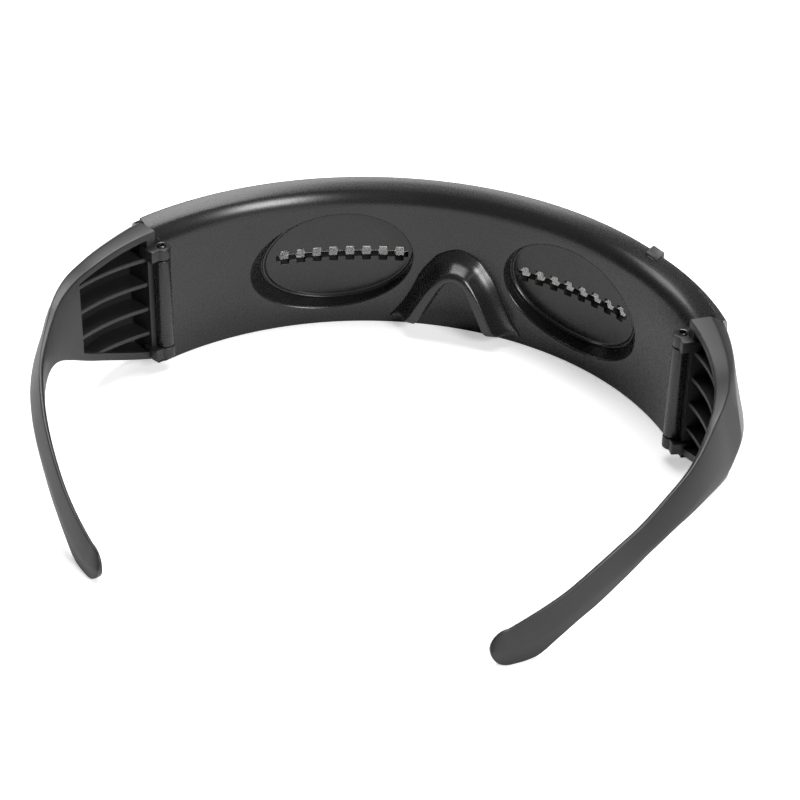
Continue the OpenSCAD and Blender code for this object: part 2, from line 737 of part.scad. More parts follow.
module charging_socket() color([0.7, 0.7, 0.72]) placed() facing(board_angle) difference() {
    w = socket_width / 2;
    tongue = w - 1.6;
    block(socket_shift - w, socket_shift + w, switch_front - socket_thickness, switch_front,
          socket_base, socket_base + socket_depth);
    difference() {
        block(socket_shift - w + socket_wall, socket_shift + w - socket_wall,
              switch_front - socket_thickness + socket_wall, switch_front - socket_wall,
              socket_base - 1, socket_base + socket_depth - socket_wall);
        block(socket_shift - tongue, socket_shift + tongue, switch_front - 1.5, switch_front - 0.9,
              socket_base + 0.6, socket_base + socket_depth);
    }
}

// battery and leads
module battery_cell() color([0.75, 0.76, 0.78]) placed() facing(-battery_angle) {
    block(-battery_width / 2, battery_width / 2, battery_rear, battery_rear + battery_thickness,
          battery_base, battery_base + battery_height);
    block(-battery_width / 2 + 1, battery_width / 2 - 1, battery_rear + 0.8,
          battery_rear + battery_thickness - 0.8, battery_base + battery_height, battery_top);
}

module lead_arc(from, to, radius, height)
    sector((to - from) / 2, (to + from) / 2) translate([radius, height]) circle(r = lead_radius);

// a lead that turns down from its bend
module lead_drop(length) {
    sphere(r = lead_radius * 1.2);
    translate([0, 0, -length]) cylinder(h = length, r = lead_radius);
}

module battery_leads() color([0.6, 0.05, 0.05]) placed() {
    for (i = [0, 1]) {
        height = lead_height + lead_spacing * i;
        angle = -battery_angle + (1 - 2 * i) * 2;
        lead_arc(angle, lead_end, lead_track, height);
        facing(angle) translate([0, lead_track, height]) lead_drop(height - battery_top - solder_gap);
    }
}

module lamp_leads() color([0.05, 0.05, 0.3]) placed() {
    for (s = [-1, 1]) {
        lead_arc(s * slot_angle, lead_end - 0.4, lamp_lead_track, lead_height + (1 - s) * 0.6);
        facing(s * slot_angle) translate([0, lamp_lead_track, lead_height + (1 - s) * 0.6])
            lead_drop(lead_height + (1 - s) * 0.6 - lamp_lead_end);
    }
}

// hinge pins
module hinge_pin() {
    translate([hinge_x, hinge_y, pin_foot]) cylinder(h = pin_seat - pin_foot, r = pin_radius);
    translate([hinge_x, hinge_y, pin_seat]) cylinder(h = pin_head_height, r = pin_head_radius);
}

module hinge_pin_right() color([0.12, 0.12, 0.12]) placed() hinge_pin();
module hinge_pin_left() color([0.12, 0.12, 0.12]) placed() mirrored() hinge_pin();

// temples, drawn about the hinge axis as the right one
// the space inside the temple's outer face, which leans in above its widest line
module bow_solid(shrink, lean) {
    edge = bow_radius - shrink;
    side = concat([[1, -1], [edge, -1]], [for (p = bow_lean) [edge - lean * p.x, p.y]],
                  [[edge - lean * bow_lean[3].x, temple_roof], [1, temple_roof]]);
    translate(bow_centre) rotate([0, 0, -blade_angle]) {
        rotate([0, 0, -bow_overlap]) rotate_extrude(angle = 180 + bow_overlap) polygon(side);
        translate([bow_radius - blade_radius, 0, 0]) rotate([0, 0, -blade_sweep])
            rotate_extrude(angle = blade_sweep)
            polygon([for (p = side) [p.x + blade_radius - bow_radius, p.y]]);
    }
}

// the side of a facet that faces the wearer; a facet is a point, a turn and a lean
module facet_side(facet, shrink) translate(facet[0]) rotate([0, -facet[2], facet[1]])
    block(-reach_far, -shrink, -reach_far, reach_far, -reach_far, reach_far);

module outer_space(shrink) intersection() {
    union() {
        bow_solid(shrink, 1);
        intersection() {
            bow_solid(shrink, 0);
            facet_side(front_facet, shrink);
        }
    }
    facet_side(low_facet, shrink);
}

module side_prism(outline) rotate([90, 0, 90]) translate([0, 0, -reach_far / 2])
    linear_extrude(reach_far) polygon(outline);

// the space up to the rounded tip
module tip_space() rotate([0, 0, -tip_turn]) {
    block(-reach_far, reach_far, -tip_start, reach_far, -1, temple_roof);
    translate([-reach_far, -tip_start, tip_round]) rotate([0, 90, 0])
        cylinder(h = 2 * reach_far, r = tip_round);
}

// the space on the wearer's side of the temple's inner face
module inner_space(grow) translate([inner_centre.x, inner_centre.y, -2]) rotate([0, 0, -inner_blade_angle])
    linear_extrude(temple_roof + 4) {
        intersection() {
            circle(r = inner_bow_radius + grow);
            translate([-reach_far, 0]) square([2 * reach_far, reach_far]);
        }
        intersection() {
            translate([inner_bow_radius - inner_blade_radius, 0]) circle(r = inner_blade_radius + grow);
            translate([-reach_far, -reach_far]) square([2 * reach_far, reach_far]);
        }
    }

module behind_visor(gap) translate([-hinge_x, -hinge_y, 0]) facing(visor_half_angle)
    block(gap, reach_far, -reach_far, reach_far, -1, temple_roof);

module temple_window() intersection() {
    difference() {
        side_prism(window_edge);
        for (i = rib_heights) difference() {
            translate([0, 0, rib_start + rib_pitch * i])
                side_prism([[12, -rib_rise / 2], [-window_reach, rib_rise],
                            [-window_reach, rib_rise + rib_thickness], [12, rib_thickness - rib_rise / 2]]);
            inner_space(rib_recess);
        }
    }
    outer_space(temple_skin);
    behind_visor(temple_gap + frame_width);
}

module lug() linear_extrude(lug_height) {
    circle(r = lug_radius);
    rotate(-visor_half_angle) {
        translate([0, -lug_radius / 2]) square([lug_arm, 1.5 * lug_radius]);
        translate([lug_root, -lug_radius / 2])
            square([lug_arm + 1 - lug_root, lug_arm + 0.6 + lug_radius / 2]);
    }
}

module temple() {
    difference() {
        union() {
            difference() {
                intersection() {
                    side_prism(concat(temple_top, temple_low));
                    tip_space();
                    block(-reach_far, reach_far, -temple_reach, reach_far, -1, temple_roof);
                    outer_space(0);
                    behind_visor(temple_gap);
                }
                inner_space(0);
                translate([0, 0, knuckle_bottom - lug_gap - lug_step])
                    cylinder(h = knuckle_top - knuckle_bottom + 2 * (lug_gap + lug_step),
                             r = knuckle_radius + pocket_clearance);
                temple_window();
            }
            for (z = [lug_low, lug_high]) translate([0, 0, z]) lug();
        }
        translate([0, 0, -1]) cylinder(h = temple_roof, r = pin_hole);
    }
}

module temple_right() color(black) placed() translate([hinge_x, hinge_y, 0]) temple();
module temple_left() color(black) placed() mirrored() translate([hinge_x, hinge_y, 0]) temple();

rear_shell();
eye_plate_left();
eye_plate_right();
lamp_board_left();
lamp_board_right();
lamps_left();
lamps_right();
front_lens();
control_board();
control_chip();
board_components();
board_screws();
tact_switch();
tact_plunger();
button_key();
charging_socket();
battery_cell();
battery_leads();
lamp_leads();
hinge_pin_left();
hinge_pin_right();
temple_left();
temple_right();
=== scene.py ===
import math
import bmesh
import bpy
from mathutils import Matrix, Vector


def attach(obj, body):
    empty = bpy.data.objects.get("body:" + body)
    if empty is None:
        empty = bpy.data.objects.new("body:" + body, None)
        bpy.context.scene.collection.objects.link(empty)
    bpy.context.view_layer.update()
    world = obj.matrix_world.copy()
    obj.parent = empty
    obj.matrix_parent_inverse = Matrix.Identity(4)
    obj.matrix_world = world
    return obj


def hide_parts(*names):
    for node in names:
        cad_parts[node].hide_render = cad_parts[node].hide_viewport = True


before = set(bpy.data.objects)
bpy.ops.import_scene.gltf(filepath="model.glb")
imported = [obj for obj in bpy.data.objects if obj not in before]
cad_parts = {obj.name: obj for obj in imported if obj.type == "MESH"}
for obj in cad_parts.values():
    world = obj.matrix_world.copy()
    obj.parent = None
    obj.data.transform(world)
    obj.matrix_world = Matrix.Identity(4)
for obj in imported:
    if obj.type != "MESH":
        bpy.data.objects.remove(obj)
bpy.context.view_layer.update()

# Rear shell.
# One black ABS moulding: an upright curved wall, a convex shoulder, a crease and a sloped rim.
# It is hollow to the front, where the lens and the electronics sit between its two lips.
MM = 0.001
VISOR_AXIS_Y = -14.501
WALL_R = 75.0
CREASE = (77.2, 38.3)
RIM = (80.3, 40.3)
WALL_TOP = 33.4
VISOR_HALF = 63.3
SKIN = 1.5
RIM_FACE = 4.3
RIM_SKIN = 2.7
FOOT_LIP = 4
CREASE_SKIN = (0.7, 1.2)
SHOULDER_SKIN = 1.1
OUTER_ROUND = 0.4
CREASE_ROUND = 1.6
RIM_ROUND = 0.5
INNER_ROUND = 0.3
SHELL_STEPS = 150
SHOULDER_STEPS = 8
END_WALL = 1.1
END_INSET = 0.2
END_OVERLAP = 0.02


def new_piece(name, shape):
    """A finished bmesh, drawn in millimetres about the visor axis, becomes a piece of the scene."""
    bmesh.ops.remove_doubles(shape, verts=shape.verts, dist=0.0005)
    bmesh.ops.recalc_face_normals(shape, faces=shape.faces)
    bmesh.ops.translate(shape, verts=shape.verts, vec=(0, VISOR_AXIS_Y, 0))
    bmesh.ops.scale(shape, verts=shape.verts, vec=(MM, MM, MM))
    mesh = bpy.data.meshes.new(name)
    shape.to_mesh(mesh)
    shape.free()
    piece = bpy.data.objects.new(name, mesh)
    bpy.context.scene.collection.objects.link(piece)
    return piece


def cut(piece, tool, operation="DIFFERENCE"):
    """Applies one exact boolean and throws the tool away."""
    step = piece.modifiers.new("cut", "BOOLEAN")
    step.operation = operation
    step.solver = "EXACT"
    step.object = tool
    bpy.context.view_layer.update()
    graph = bpy.context.evaluated_depsgraph_get()
    mesh = bpy.data.meshes.new_from_object(piece.evaluated_get(graph))
    piece.modifiers.clear()
    piece.data = mesh
    bpy.data.objects.remove(tool)


def swept(profile, rounds, half_angle, steps):
    """A solid ring sector from a profile of radius and height, with rounded corners."""
    shape = bmesh.new()
    corners = [shape.verts.new((r, 0, z)) for r, z in profile]
    shape.faces.new(corners)
    for corner, size in zip(corners, rounds):
        if size:
            bmesh.ops.bevel(shape, geom=[corner], offset=size, segments=4, profile=0.5,
                            affect="VERTICES", material=-1)
    bmesh.ops.delete(shape, geom=shape.faces[:], context="FACES_ONLY")
    bmesh.ops.rotate(shape, verts=shape.verts, cent=(0, 0, 0),
                     matrix=Matrix.Rotation(math.radians(90 - half_angle), 3, "Z"))
    bmesh.ops.spin(shape, geom=shape.verts[:] + shape.edges[:], cent=(0, 0, 0), axis=(0, 0, 1),
                   angle=math.radians(2 * half_angle), steps=steps)
    bmesh.ops.holes_fill(shape, edges=[e for e in shape.edges if e.is_boundary], sides=0)
    return shape


shoulder_r = ((CREASE[1] - WALL_TOP) ** 2 + (CREASE[0] - WALL_R) ** 2) / (2 * (CREASE[0] - WALL_R))
shoulder_turn = math.asin((CREASE[1] - WALL_TOP) / shoulder_r)
shoulder = [(WALL_R + shoulder_r * (1 - math.cos(shoulder_turn * i / SHOULDER_STEPS)),
             WALL_TOP + shoulder_r * math.sin(shoulder_turn * i / SHOULDER_STEPS))
            for i in range(SHOULDER_STEPS + 1)]
rear_side = [(WALL_R, 0)] + shoulder + [RIM]
front_side = [(RIM[0], RIM[1] - RIM_FACE), (RIM[0] - SKIN, RIM[1] - RIM_FACE),
              (RIM[0] - SKIN, RIM[1] - RIM_SKIN),
              (CREASE[0] + CREASE_SKIN[0], CREASE[1] - CREASE_SKIN[1]),
              (WALL_R + SKIN, WALL_TOP + SHOULDER_SKIN), (WALL_R + SKIN, SKIN),
              (RIM[0] - SKIN, SKIN), (RIM[0] - SKIN, FOOT_LIP), (RIM[0], FOOT_LIP), (RIM[0], 0)]
rounds = ([OUTER_ROUND] + [0] * SHOULDER_STEPS + [CREASE_ROUND, RIM_ROUND] + [INNER_ROUND] * 2 + [0] * 5
          + [INNER_ROUND] * 2 + [OUTER_ROUND])
shell = new_piece("shell", swept(rear_side + front_side, rounds, VISOR_HALF, SHELL_STEPS))

# the closed ends of the shell
for end in (-1, 1):
    shape = bmesh.new()
    outline = ([(WALL_R + END_INSET, END_INSET)] + shoulder[1:]
               + [(RIM[0] - END_INSET, RIM[1] - END_INSET), (RIM[0] - END_INSET / 2, END_INSET)])
    loop = [shape.verts.new((r, 0, z)) for r, z in outline]
    shape.faces.new(loop)
    start = 90 - end * (VISOR_HALF - END_OVERLAP)
    bmesh.ops.rotate(shape, verts=shape.verts, cent=(0, 0, 0),
                     matrix=Matrix.Rotation(math.radians(start), 3, "Z"))
    grown = bmesh.ops.extrude_face_region(shape, geom=shape.faces[:])
    moved = [v for v in grown["geom"] if isinstance(v, bmesh.types.BMVert)]
    bmesh.ops.rotate(shape, verts=moved, cent=(0, 0, 0),
                     matrix=Matrix.Rotation(math.radians(end * END_WALL), 3, "Z"))
    cut(shell, new_piece("end_wall", shape), "UNION")

# Eye recesses.
# Each oval recess runs straight forwards, the way the mould opens, so its outer end shows a wide
# wall and its inner end hardly any. A small polished round along the rim catches the light.
EYE_X = 30.3
EYE_Z = 18.4
EYE_TILT = math.radians(9)
RECESS_HALF = (18.75, 13.4)
RECESS_DEPTH = 68
RECESS_LEAN = math.tan(math.radians(6.5))
RECESS_BOTTOM = 81.3
RECESS_SIDES = 104
LIP = 0.7
LIP_LIFT = 0.025
LIP_STEPS = 5
COLLAR_RADII = (75.86, 77.4, 79.1)
COLLAR_GROW = 1.7
COLLAR_INSIDE = -0.6
COLLAR_SIDES = 90
COLLAR_TOP = 32.7
COLLAR_FLATTEN = 0.02


def recess_point(turn, depth, grow=0.0):
    """A point of the right eye's recess wall at one distance in front of the visor axis."""
    grow -= (depth - RECESS_DEPTH) * RECESS_LEAN
    x, z = (RECESS_HALF[0] + grow) * math.cos(turn), (RECESS_HALF[1] + grow) * math.sin(turn)
    return Vector((x * math.cos(EYE_TILT) + z * math.sin(EYE_TILT) + EYE_X, depth,
                   z * math.cos(EYE_TILT) - x * math.sin(EYE_TILT) + EYE_Z))


def recess_on(turn, radius, grow=0.0):
    """The same, where the wall meets an upright cylinder about the visor axis."""
    depth = radius
    for _ in range(25):
        depth = 0.5 * depth + 0.5 * math.sqrt(radius ** 2 - recess_point(turn, depth, grow).x ** 2)
    return recess_point(turn, depth, grow)


def recess_rings():
    """Rings of points from just inside the wall's face, over the rounded lip, to the bottom."""
    rings = [[] for _ in range(LIP_STEPS + 4)]
    for i in range(RECESS_SIDES):
        turn = 2 * math.pi * i / RECESS_SIDES
        rim = recess_on(turn, WALL_R)
        along = recess_on(turn + 0.01, WALL_R) - recess_on(turn - 0.01, WALL_R)
        radial = Vector((rim.x, rim.y, 0)).normalized()
        away = along.cross(radial).normalized()
        if away.dot(Vector((rim.x - EYE_X, 0, rim.z - EYE_Z))) < 0:
            away.negate()
        down = (recess_point(turn, rim.y + 1) - recess_point(turn, rim.y)).normalized()
        start = rim + away * LIP
        start = Vector((start.x, start.y, 0)).normalized() * (WALL_R - LIP_LIFT) + Vector((0, 0, start.z))
        stop = rim + down * LIP
        rings[0].append(start - radial * 1.5)
        for k in range(LIP_STEPS + 1):
            t = k / LIP_STEPS
            rings[k + 1].append(start * (1 - t) ** 2 + rim * 2 * t * (1 - t) + stop * t * t)
        bottom = recess_point(turn, RECESS_BOTTOM)
        rings[-2].append(stop.lerp(bottom, 0.5))
        rings[-1].append(bottom)
    return rings


def ring_solid(rings, closed=False):
    """Bridges rings of points into a solid, with caps or, if closed, as a band round a hole."""
    shape = bmesh.new()
    loops = []
    for ring in rings:
        verts = [shape.verts.new(p) for p in ring]
        loops.append([shape.edges.new((verts[i - 1], verts[i])) for i in range(len(verts))])
    for first, second in zip(loops, loops[1:]):
        bmesh.ops.bridge_loops(shape, edges=first + second)
    if closed:
        bmesh.ops.bridge_loops(shape, edges=loops[-1] + loops[0])
    bmesh.ops.holes_fill(shape, edges=[e for e in shape.edges if e.is_boundary], sides=0)
    bmesh.ops.recalc_face_normals(shape, faces=shape.faces)
    return shape


def sided(shape, side):
    """Mirrors a shape of the wearer's right on to the left when the side is -1."""
    if side < 0:
        bmesh.ops.scale(shape, verts=shape.verts, vec=(-1, 1, 1))
        bmesh.ops.reverse_faces(shape, faces=shape.faces)
    return shape


for side in (-1, 1):
    collar = []
    for grow, radius in ([(COLLAR_GROW, r) for r in COLLAR_RADII]
                         + [(COLLAR_INSIDE, r) for r in reversed(COLLAR_RADII)]):
        ring = [recess_on(2 * math.pi * (k + 0.5) / COLLAR_SIDES, radius, grow)
                for k in range(COLLAR_SIDES)]
        for p in ring:
            if p.z >= COLLAR_TOP:
                p.z = COLLAR_TOP + COLLAR_FLATTEN * (p.z - COLLAR_TOP)
        collar.append(ring)
    cut(shell, new_piece("collar", sided(ring_solid(collar, True), side)), "UNION")
for side in (-1, 1):
    cut(shell, new_piece("recess_tool", sided(ring_solid(recess_rings()), side)))

# Nose bridge.
# A hood moulded on to the wall between the eyes: sharp-crested legs that spread to the foot,
# and a soft saddle where they meet. Its flanks are a little hollow and its lip stands proud.
def smooth_value(points, at):
    """A smooth curve through (distance, value) points, read at one distance."""
    last = len(points) - 1
    i = min(max(sum(1 for p in points if p[0] <= at) - 1, 0), last - 1)

    def slope(k):
        a, b = points[max(k - 1, 0)], points[min(k + 1, last)]
        return (b[1] - a[1]) / (b[0] - a[0])

    (x0, y0), (x1, y1) = points[i], points[i + 1]
    width = x1 - x0
    t = (at - x0) / width
    return ((2 * t ** 3 - 3 * t ** 2 + 1) * y0 + (t ** 3 - 2 * t ** 2 + t) * width * slope(i)
            + (3 * t ** 2 - 2 * t ** 3) * y1 + (t ** 3 - t ** 2) * width * slope(i + 1))


def rounded_loop(corners, sizes, steps=4):
    """A closed outline whose corners become short curves of the given reach."""
    loop = []
    for i, corner in enumerate(corners):
        ends = []
        for other in (corners[i - 1], corners[(i + 1) % len(corners)]):
            away = other - corner
            reach = min(sizes[i], 0.47 * away.length)
            ends.append(corner + away.normalized() * max(reach, 0.004))
        for k in range(steps + 1):
            t = k / steps
            loop.append(ends[0] * (1 - t) ** 2 + corner * 2 * t * (1 - t) + ends[1] * t * t)
    return loop


NOSE_WALL = [(0, 23.7), (5.1, 21.9), (7.7, 19.2), (10.2, 15.7), (12.7, 10.1), (15.2, 5.7), (17.8, 2.3)]
NOSE_CREST = [(0, 19.2), (2.7, 18.6), (4.6, 16.9), (6.6, 14.1), (8.9, 10), (11, 6), (13, 2.3)]
NOSE_NOTCH = [(0, 17.1), (1.9, 16.5), (3.4, 15), (4.8, 12.7), (6.8, 8.9), (8.6, 5.4), (10.5, 2.3)]
NOSE_BACK = [(0, 15.9), (1.6, 15.3), (3, 13.9), (4.3, 11.8), (6.1, 8.3), (7.8, 5.1), (9.5, 2.3)]
CREST_REACH = [(2.3, 8.4), (19.2, 6.2)]
LEG_POINTS = len(NOSE_WALL) - 1
LEG_STEPS = 10
FOOT_DROP = 0.42
FOOT_LIFT = 0.5
NOSE_SINK = 0.3
NOSE_LIP = 0.25
SADDLE_WIDTH = 1.9


def on_curve(curve, t):
    """A point of one of the nose's lines, from the left foot over the saddle to the right one."""
    points = range(-LEG_POINTS, LEG_POINTS + 1)
    x = smooth_value([(k, math.copysign(curve[abs(k)][0], k)) for k in points], t)
    z = smooth_value([(k, curve[abs(k)][1]) for k in points], t)
    return x, z


def on_wall(point, radius):
    return Vector((point[0], math.sqrt(radius ** 2 - point[0] ** 2), point[1]))


nose_rings = []
for i in range(-LEG_POINTS * LEG_STEPS, LEG_POINTS * LEG_STEPS + 1):
    t = i / LEG_STEPS
    foot = max(abs(t) - LEG_POINTS + 1, 0)
    drop = 1 - FOOT_DROP * foot ** 2.2
    edge, crest, notch, back = [on_curve(c, t) for c in (NOSE_WALL, NOSE_CREST, NOSE_NOTCH, NOSE_BACK)]
    tops = []
    for x, z in (crest, notch):
        reach = smooth_value(CREST_REACH, z) * drop
        tops.append(Vector((x, WALL_R - reach, z + FOOT_LIFT * foot ** 3)))
    lip = on_wall(edge, WALL_R - NOSE_SINK) + (tops[0] - on_wall(edge, WALL_R)).normalized() * NOSE_LIP
    chord = tops[0] - lip
    hollow = Vector((0, WALL_R, 6)) - lip.lerp(tops[0], 0.5)
    hollow = (hollow - chord * hollow.dot(chord) / chord.length_squared).normalized()
    soft = math.exp(-(t / SADDLE_WIDTH) ** 2)
    corners = [on_wall(edge, WALL_R + 1), on_wall(edge, WALL_R - 0.02), lip,
               lip + chord * 0.33 + hollow * 0.8, lip + chord * 0.7 + hollow * (0.7 - 0.3 * soft),
               tops[0], tops[1], on_wall(back, WALL_R - NOSE_SINK), on_wall(back, WALL_R + 1)]
    sizes = [0, 0.1, 0.3, 3, 3, 0.45 + 1.9 * soft, 0.4 + 0.5 * soft, 0.8, 0]
    nose_rings.append(rounded_loop(corners, sizes))
cut(shell, new_piece("nose", ring_solid(nose_rings)), "UNION")

# Hinge knuckles and pockets.
# Each end of the shell carries an upright barrel with a flat strip beside it, and above and
# below the barrel a round pocket takes the temple's ring lugs.
HINGE_R = 73.03
HINGE_TURN = VISOR_HALF - 0.43
KNUCKLE = (6.8, 31.4)
BARREL_R = 2.1
POCKET_R = 2.65
POCKET_TOP = 38.9
PIN_BORE_R = 0.85
STRIP_NEAR, STRIP_MID, STRIP_FAR = 0.25, -1.5, -3.4


def upright_prism(outline, low, high, bevel=0.0):
    """A prism on a plan outline, with its sharp edges eased by a small bevel."""
    shape = bmesh.new()
    base = shape.faces.new([shape.verts.new((x, y, low)) for x, y in outline])
    grown = bmesh.ops.extrude_face_region(shape, geom=[base])
    top = [v for v in grown["geom"] if isinstance(v, bmesh.types.BMVert)]
    bmesh.ops.translate(shape, verts=top, vec=(0, 0, high - low))
    bmesh.ops.recalc_face_normals(shape, faces=shape.faces)
    if bevel:
        sharp = [e for e in shape.edges if e.calc_face_angle(0) > math.radians(35)]
        bmesh.ops.bevel(shape, geom=sharp, offset=bevel, segments=3, profile=0.5,
                        affect="EDGES", material=-1)
    return shape


def circle_outline(x, y, radius, count=40):
    return [(x + radius * math.cos(2 * math.pi * k / count), y + radius * math.sin(2 * math.pi * k / count))
            for k in range(count)]


def turned(shape, angle, side=1):
    """Turns a shape to face outward at an angle, on the wearer's right or, mirrored, left."""
    bmesh.ops.rotate(shape, verts=shape.verts, cent=(0, 0, 0),
                     matrix=Matrix.Rotation(math.radians(-angle), 3, "Z"))
    return sided(shape, side)


for side in (-1, 1):
    strip = [(STRIP_FAR, HINGE_R + 0.75), (STRIP_MID, HINGE_R + 0.75), (STRIP_MID, HINGE_R + 0.2),
             (STRIP_NEAR, HINGE_R + 0.2), (STRIP_NEAR, WALL_R + 0.6), (STRIP_FAR, WALL_R + 0.6)]
    cut(shell, new_piece("strip", turned(upright_prism(strip, *KNUCKLE, 0.18), HINGE_TURN, side)), "UNION")
    barrel = upright_prism(circle_outline(0, HINGE_R, BARREL_R), *KNUCKLE, 0.2)
    cut(shell, new_piece("barrel", turned(barrel, HINGE_TURN, side)), "UNION")
    for low, high in ((-1, KNUCKLE[0]), (KNUCKLE[1], POCKET_TOP)):
        pocket = upright_prism(circle_outline(0, HINGE_R, POCKET_R), low, high)
        cut(shell, new_piece("pocket", turned(pocket, HINGE_TURN, side)))
    bore = upright_prism(circle_outline(0, HINGE_R, PIN_BORE_R, 24), -1, 33)
    cut(shell, new_piece("bore", turned(bore, HINGE_TURN, side)))

# Button seat.
# The rim is notched for the push button, a little wider than its cap, and below the notch
# a hole takes its neck and a wider room its flange.
BUTTON_TURN = 41.5
CAP_NOTCH = (2.3, 78.45, 82, 38.3, 42)
NECK_HOLE = (1.35, 78.15, 79.65, 35.9, 39)
FLANGE_ROOM = (2.4, 77.6, 80.2, 34, 36.85)
for half, rear, front, low, high in (CAP_NOTCH, NECK_HOLE, FLANGE_ROOM):
    seat = upright_prism([(-half, rear), (half, rear), (half, front), (-half, front)], low, high)
    cut(shell, new_piece("seat", turned(seat, BUTTON_TURN)))

# Moulded finish.
# The black parts are ABS from a spark-eroded steel mould, so they are satin, with a fine even
# speckle in the gloss and faint slow flow marks in the colour.
def mould_speckle_group():
    group = bpy.data.node_groups.new("mould_speckle", "ShaderNodeTree")
    for label, value in (("Grain", 2600.0), ("Flow", 60.0)):
        socket = group.interface.new_socket(label, in_out="INPUT", socket_type="NodeSocketFloat")
        socket.default_value = value
    for label in ("Height", "Gloss", "Shade"):
        group.interface.new_socket(label, in_out="OUTPUT", socket_type="NodeSocketFloat")
    nodes, links = group.nodes, group.links
    entry = nodes.new("NodeGroupInput")
    leave = nodes.new("NodeGroupOutput")
    coords = nodes.new("ShaderNodeTexCoord")
    grain = nodes.new("ShaderNodeTexNoise")
    grain.inputs["Detail"].default_value = 3.0
    grain.inputs["Roughness"].default_value = 0.65
    flow = nodes.new("ShaderNodeTexNoise")
    flow.inputs["Detail"].default_value = 4.0
    for noise, label in ((grain, "Grain"), (flow, "Flow")):
        links.new(coords.outputs["Object"], noise.inputs["Vector"])
        links.new(entry.outputs[label], noise.inputs["Scale"])
    gloss = nodes.new("ShaderNodeMapRange")
    shade = nodes.new("ShaderNodeMapRange")
    for part in (gloss, shade):
        part.inputs["From Min"].default_value = 0.3
        part.inputs["From Max"].default_value = 0.7
    gloss.inputs["To Min"].default_value = -0.03
    gloss.inputs["To Max"].default_value = 0.03
    links.new(grain.outputs["Fac"], gloss.inputs["Value"])
    links.new(flow.outputs["Fac"], shade.inputs["Value"])
    links.new(grain.outputs["Fac"], leave.inputs["Height"])
    links.new(gloss.outputs["Result"], leave.inputs["Gloss"])
    links.new(shade.outputs["Result"], leave.inputs["Shade"])
    return group


MOULD_SPECKLE = mould_speckle_group()


def moulded_plastic(name, dark, light, roughness, grain=2600.0, bump=0.12, metallic=0.0):
    material = bpy.data.materials.new(name)
    material.use_nodes = True
    nodes, links = material.node_tree.nodes, material.node_tree.links
    shader = nodes["Principled BSDF"]
    shader.inputs["Metallic"].default_value = metallic
    speckle = nodes.new("ShaderNodeGroup")
    speckle.node_tree = MOULD_SPECKLE
    speckle.inputs["Grain"].default_value = grain
    tint = nodes.new("ShaderNodeMix")
    tint.data_type = "RGBA"
    tint.inputs["A"].default_value = (*dark, 1)
    tint.inputs["B"].default_value = (*light, 1)
    links.new(speckle.outputs["Shade"], tint.inputs["Factor"])
    links.new(tint.outputs["Result"], shader.inputs["Base Color"])
    gloss = nodes.new("ShaderNodeMath")
    gloss.operation = "ADD"
    gloss.inputs[1].default_value = roughness
    links.new(speckle.outputs["Gloss"], gloss.inputs[0])
    links.new(gloss.outputs["Value"], shader.inputs["Roughness"])
    relief = nodes.new("ShaderNodeBump")
    relief.inputs["Strength"].default_value = bump
    relief.inputs["Distance"].default_value = 0.05 * MM
    links.new(speckle.outputs["Height"], relief.inputs["Height"])
    links.new(relief.outputs["Normal"], shader.inputs["Normal"])
    return material


def dress(piece, material, sharp=40):
    piece.data.materials.clear()
    piece.data.materials.append(material)
    piece.data.shade_smooth()
    piece.data.set_sharp_from_angle(angle=math.radians(sharp))


SHELL_BLACK = moulded_plastic("shell_black", (0.010, 0.010, 0.0105), (0.014, 0.014, 0.0145),
                              roughness=0.27, grain=2200.0, bump=0.05)
dress(shell, SHELL_BLACK)
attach(shell, "visor")
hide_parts("rear_shell")

# Eye plates.
# A thin curved ABS plate closes each recess from the front. Its toothed slot is the wearer's
# view, with a sill that slopes up to the front, and a small ridge runs round its edge.
PLATE_R = 79.4
PLATE_THICK = 1.2
PLATE_MARGIN = 1.9
PLATE_LOW, PLATE_HIGH = 4.3, 32.7
SLOT_TURN = 23.2
SLOT_Z = 18.3
TEETH = 8
TOOTH_PITCH = math.radians(3.12) * PLATE_R
GAP_HALF = 0.8
NOTCH_HALF = 1.1
NOTCH_TOP = 1.95
NOTCH_ROUND = 0.32
SLOT_OVERRUN = 2.3
SILL_RISE = 0.85
SILL_DEPTH = 0.15
RIDGE = 0.48
PLATE_SIDES = 96
BEND_STEP = 1.2


def wrapped(shape, turn, side):
    """Bends a flat drawing, across and up, round the visor axis at a plate's radius."""
    xs = [v.co.x for v in shape.verts]
    steps = int((max(xs) - min(xs)) / BEND_STEP)
    for k in range(1, steps):
        at = min(xs) + (max(xs) - min(xs)) * k / steps + 0.013
        bmesh.ops.bisect_plane(shape, geom=shape.verts[:] + shape.edges[:] + shape.faces[:],
                               plane_co=(at, 0, 0), plane_no=(1, 0, 0))
    for v in shape.verts:
        angle = v.co.x / PLATE_R + math.radians(turn)
        v.co = Vector((v.co.y * math.sin(angle), v.co.y * math.cos(angle), v.co.z))
    return sided(shape, side)


def flat_piece(name, shape):
    mesh = bpy.data.meshes.new(name)
    bmesh.ops.recalc_face_normals(shape, faces=shape.faces)
    shape.to_mesh(mesh)
    shape.free()
    piece = bpy.data.objects.new(name, mesh)
    bpy.context.scene.collection.objects.link(piece)
    return piece


def plate_ring(shrink, depth):
    """The recess's outline at the plate, drawn in a little and unrolled flat, at a depth."""
    ring = []
    for k in range(PLATE_SIDES):
        p = recess_on(2 * math.pi * k / PLATE_SIDES, PLATE_R, -shrink)
        across = (math.atan2(p.x, p.y) - math.radians(SLOT_TURN)) * PLATE_R
        ring.append(Vector((across, depth, min(max(p.z, PLATE_LOW), PLATE_HIGH))))
    return ring


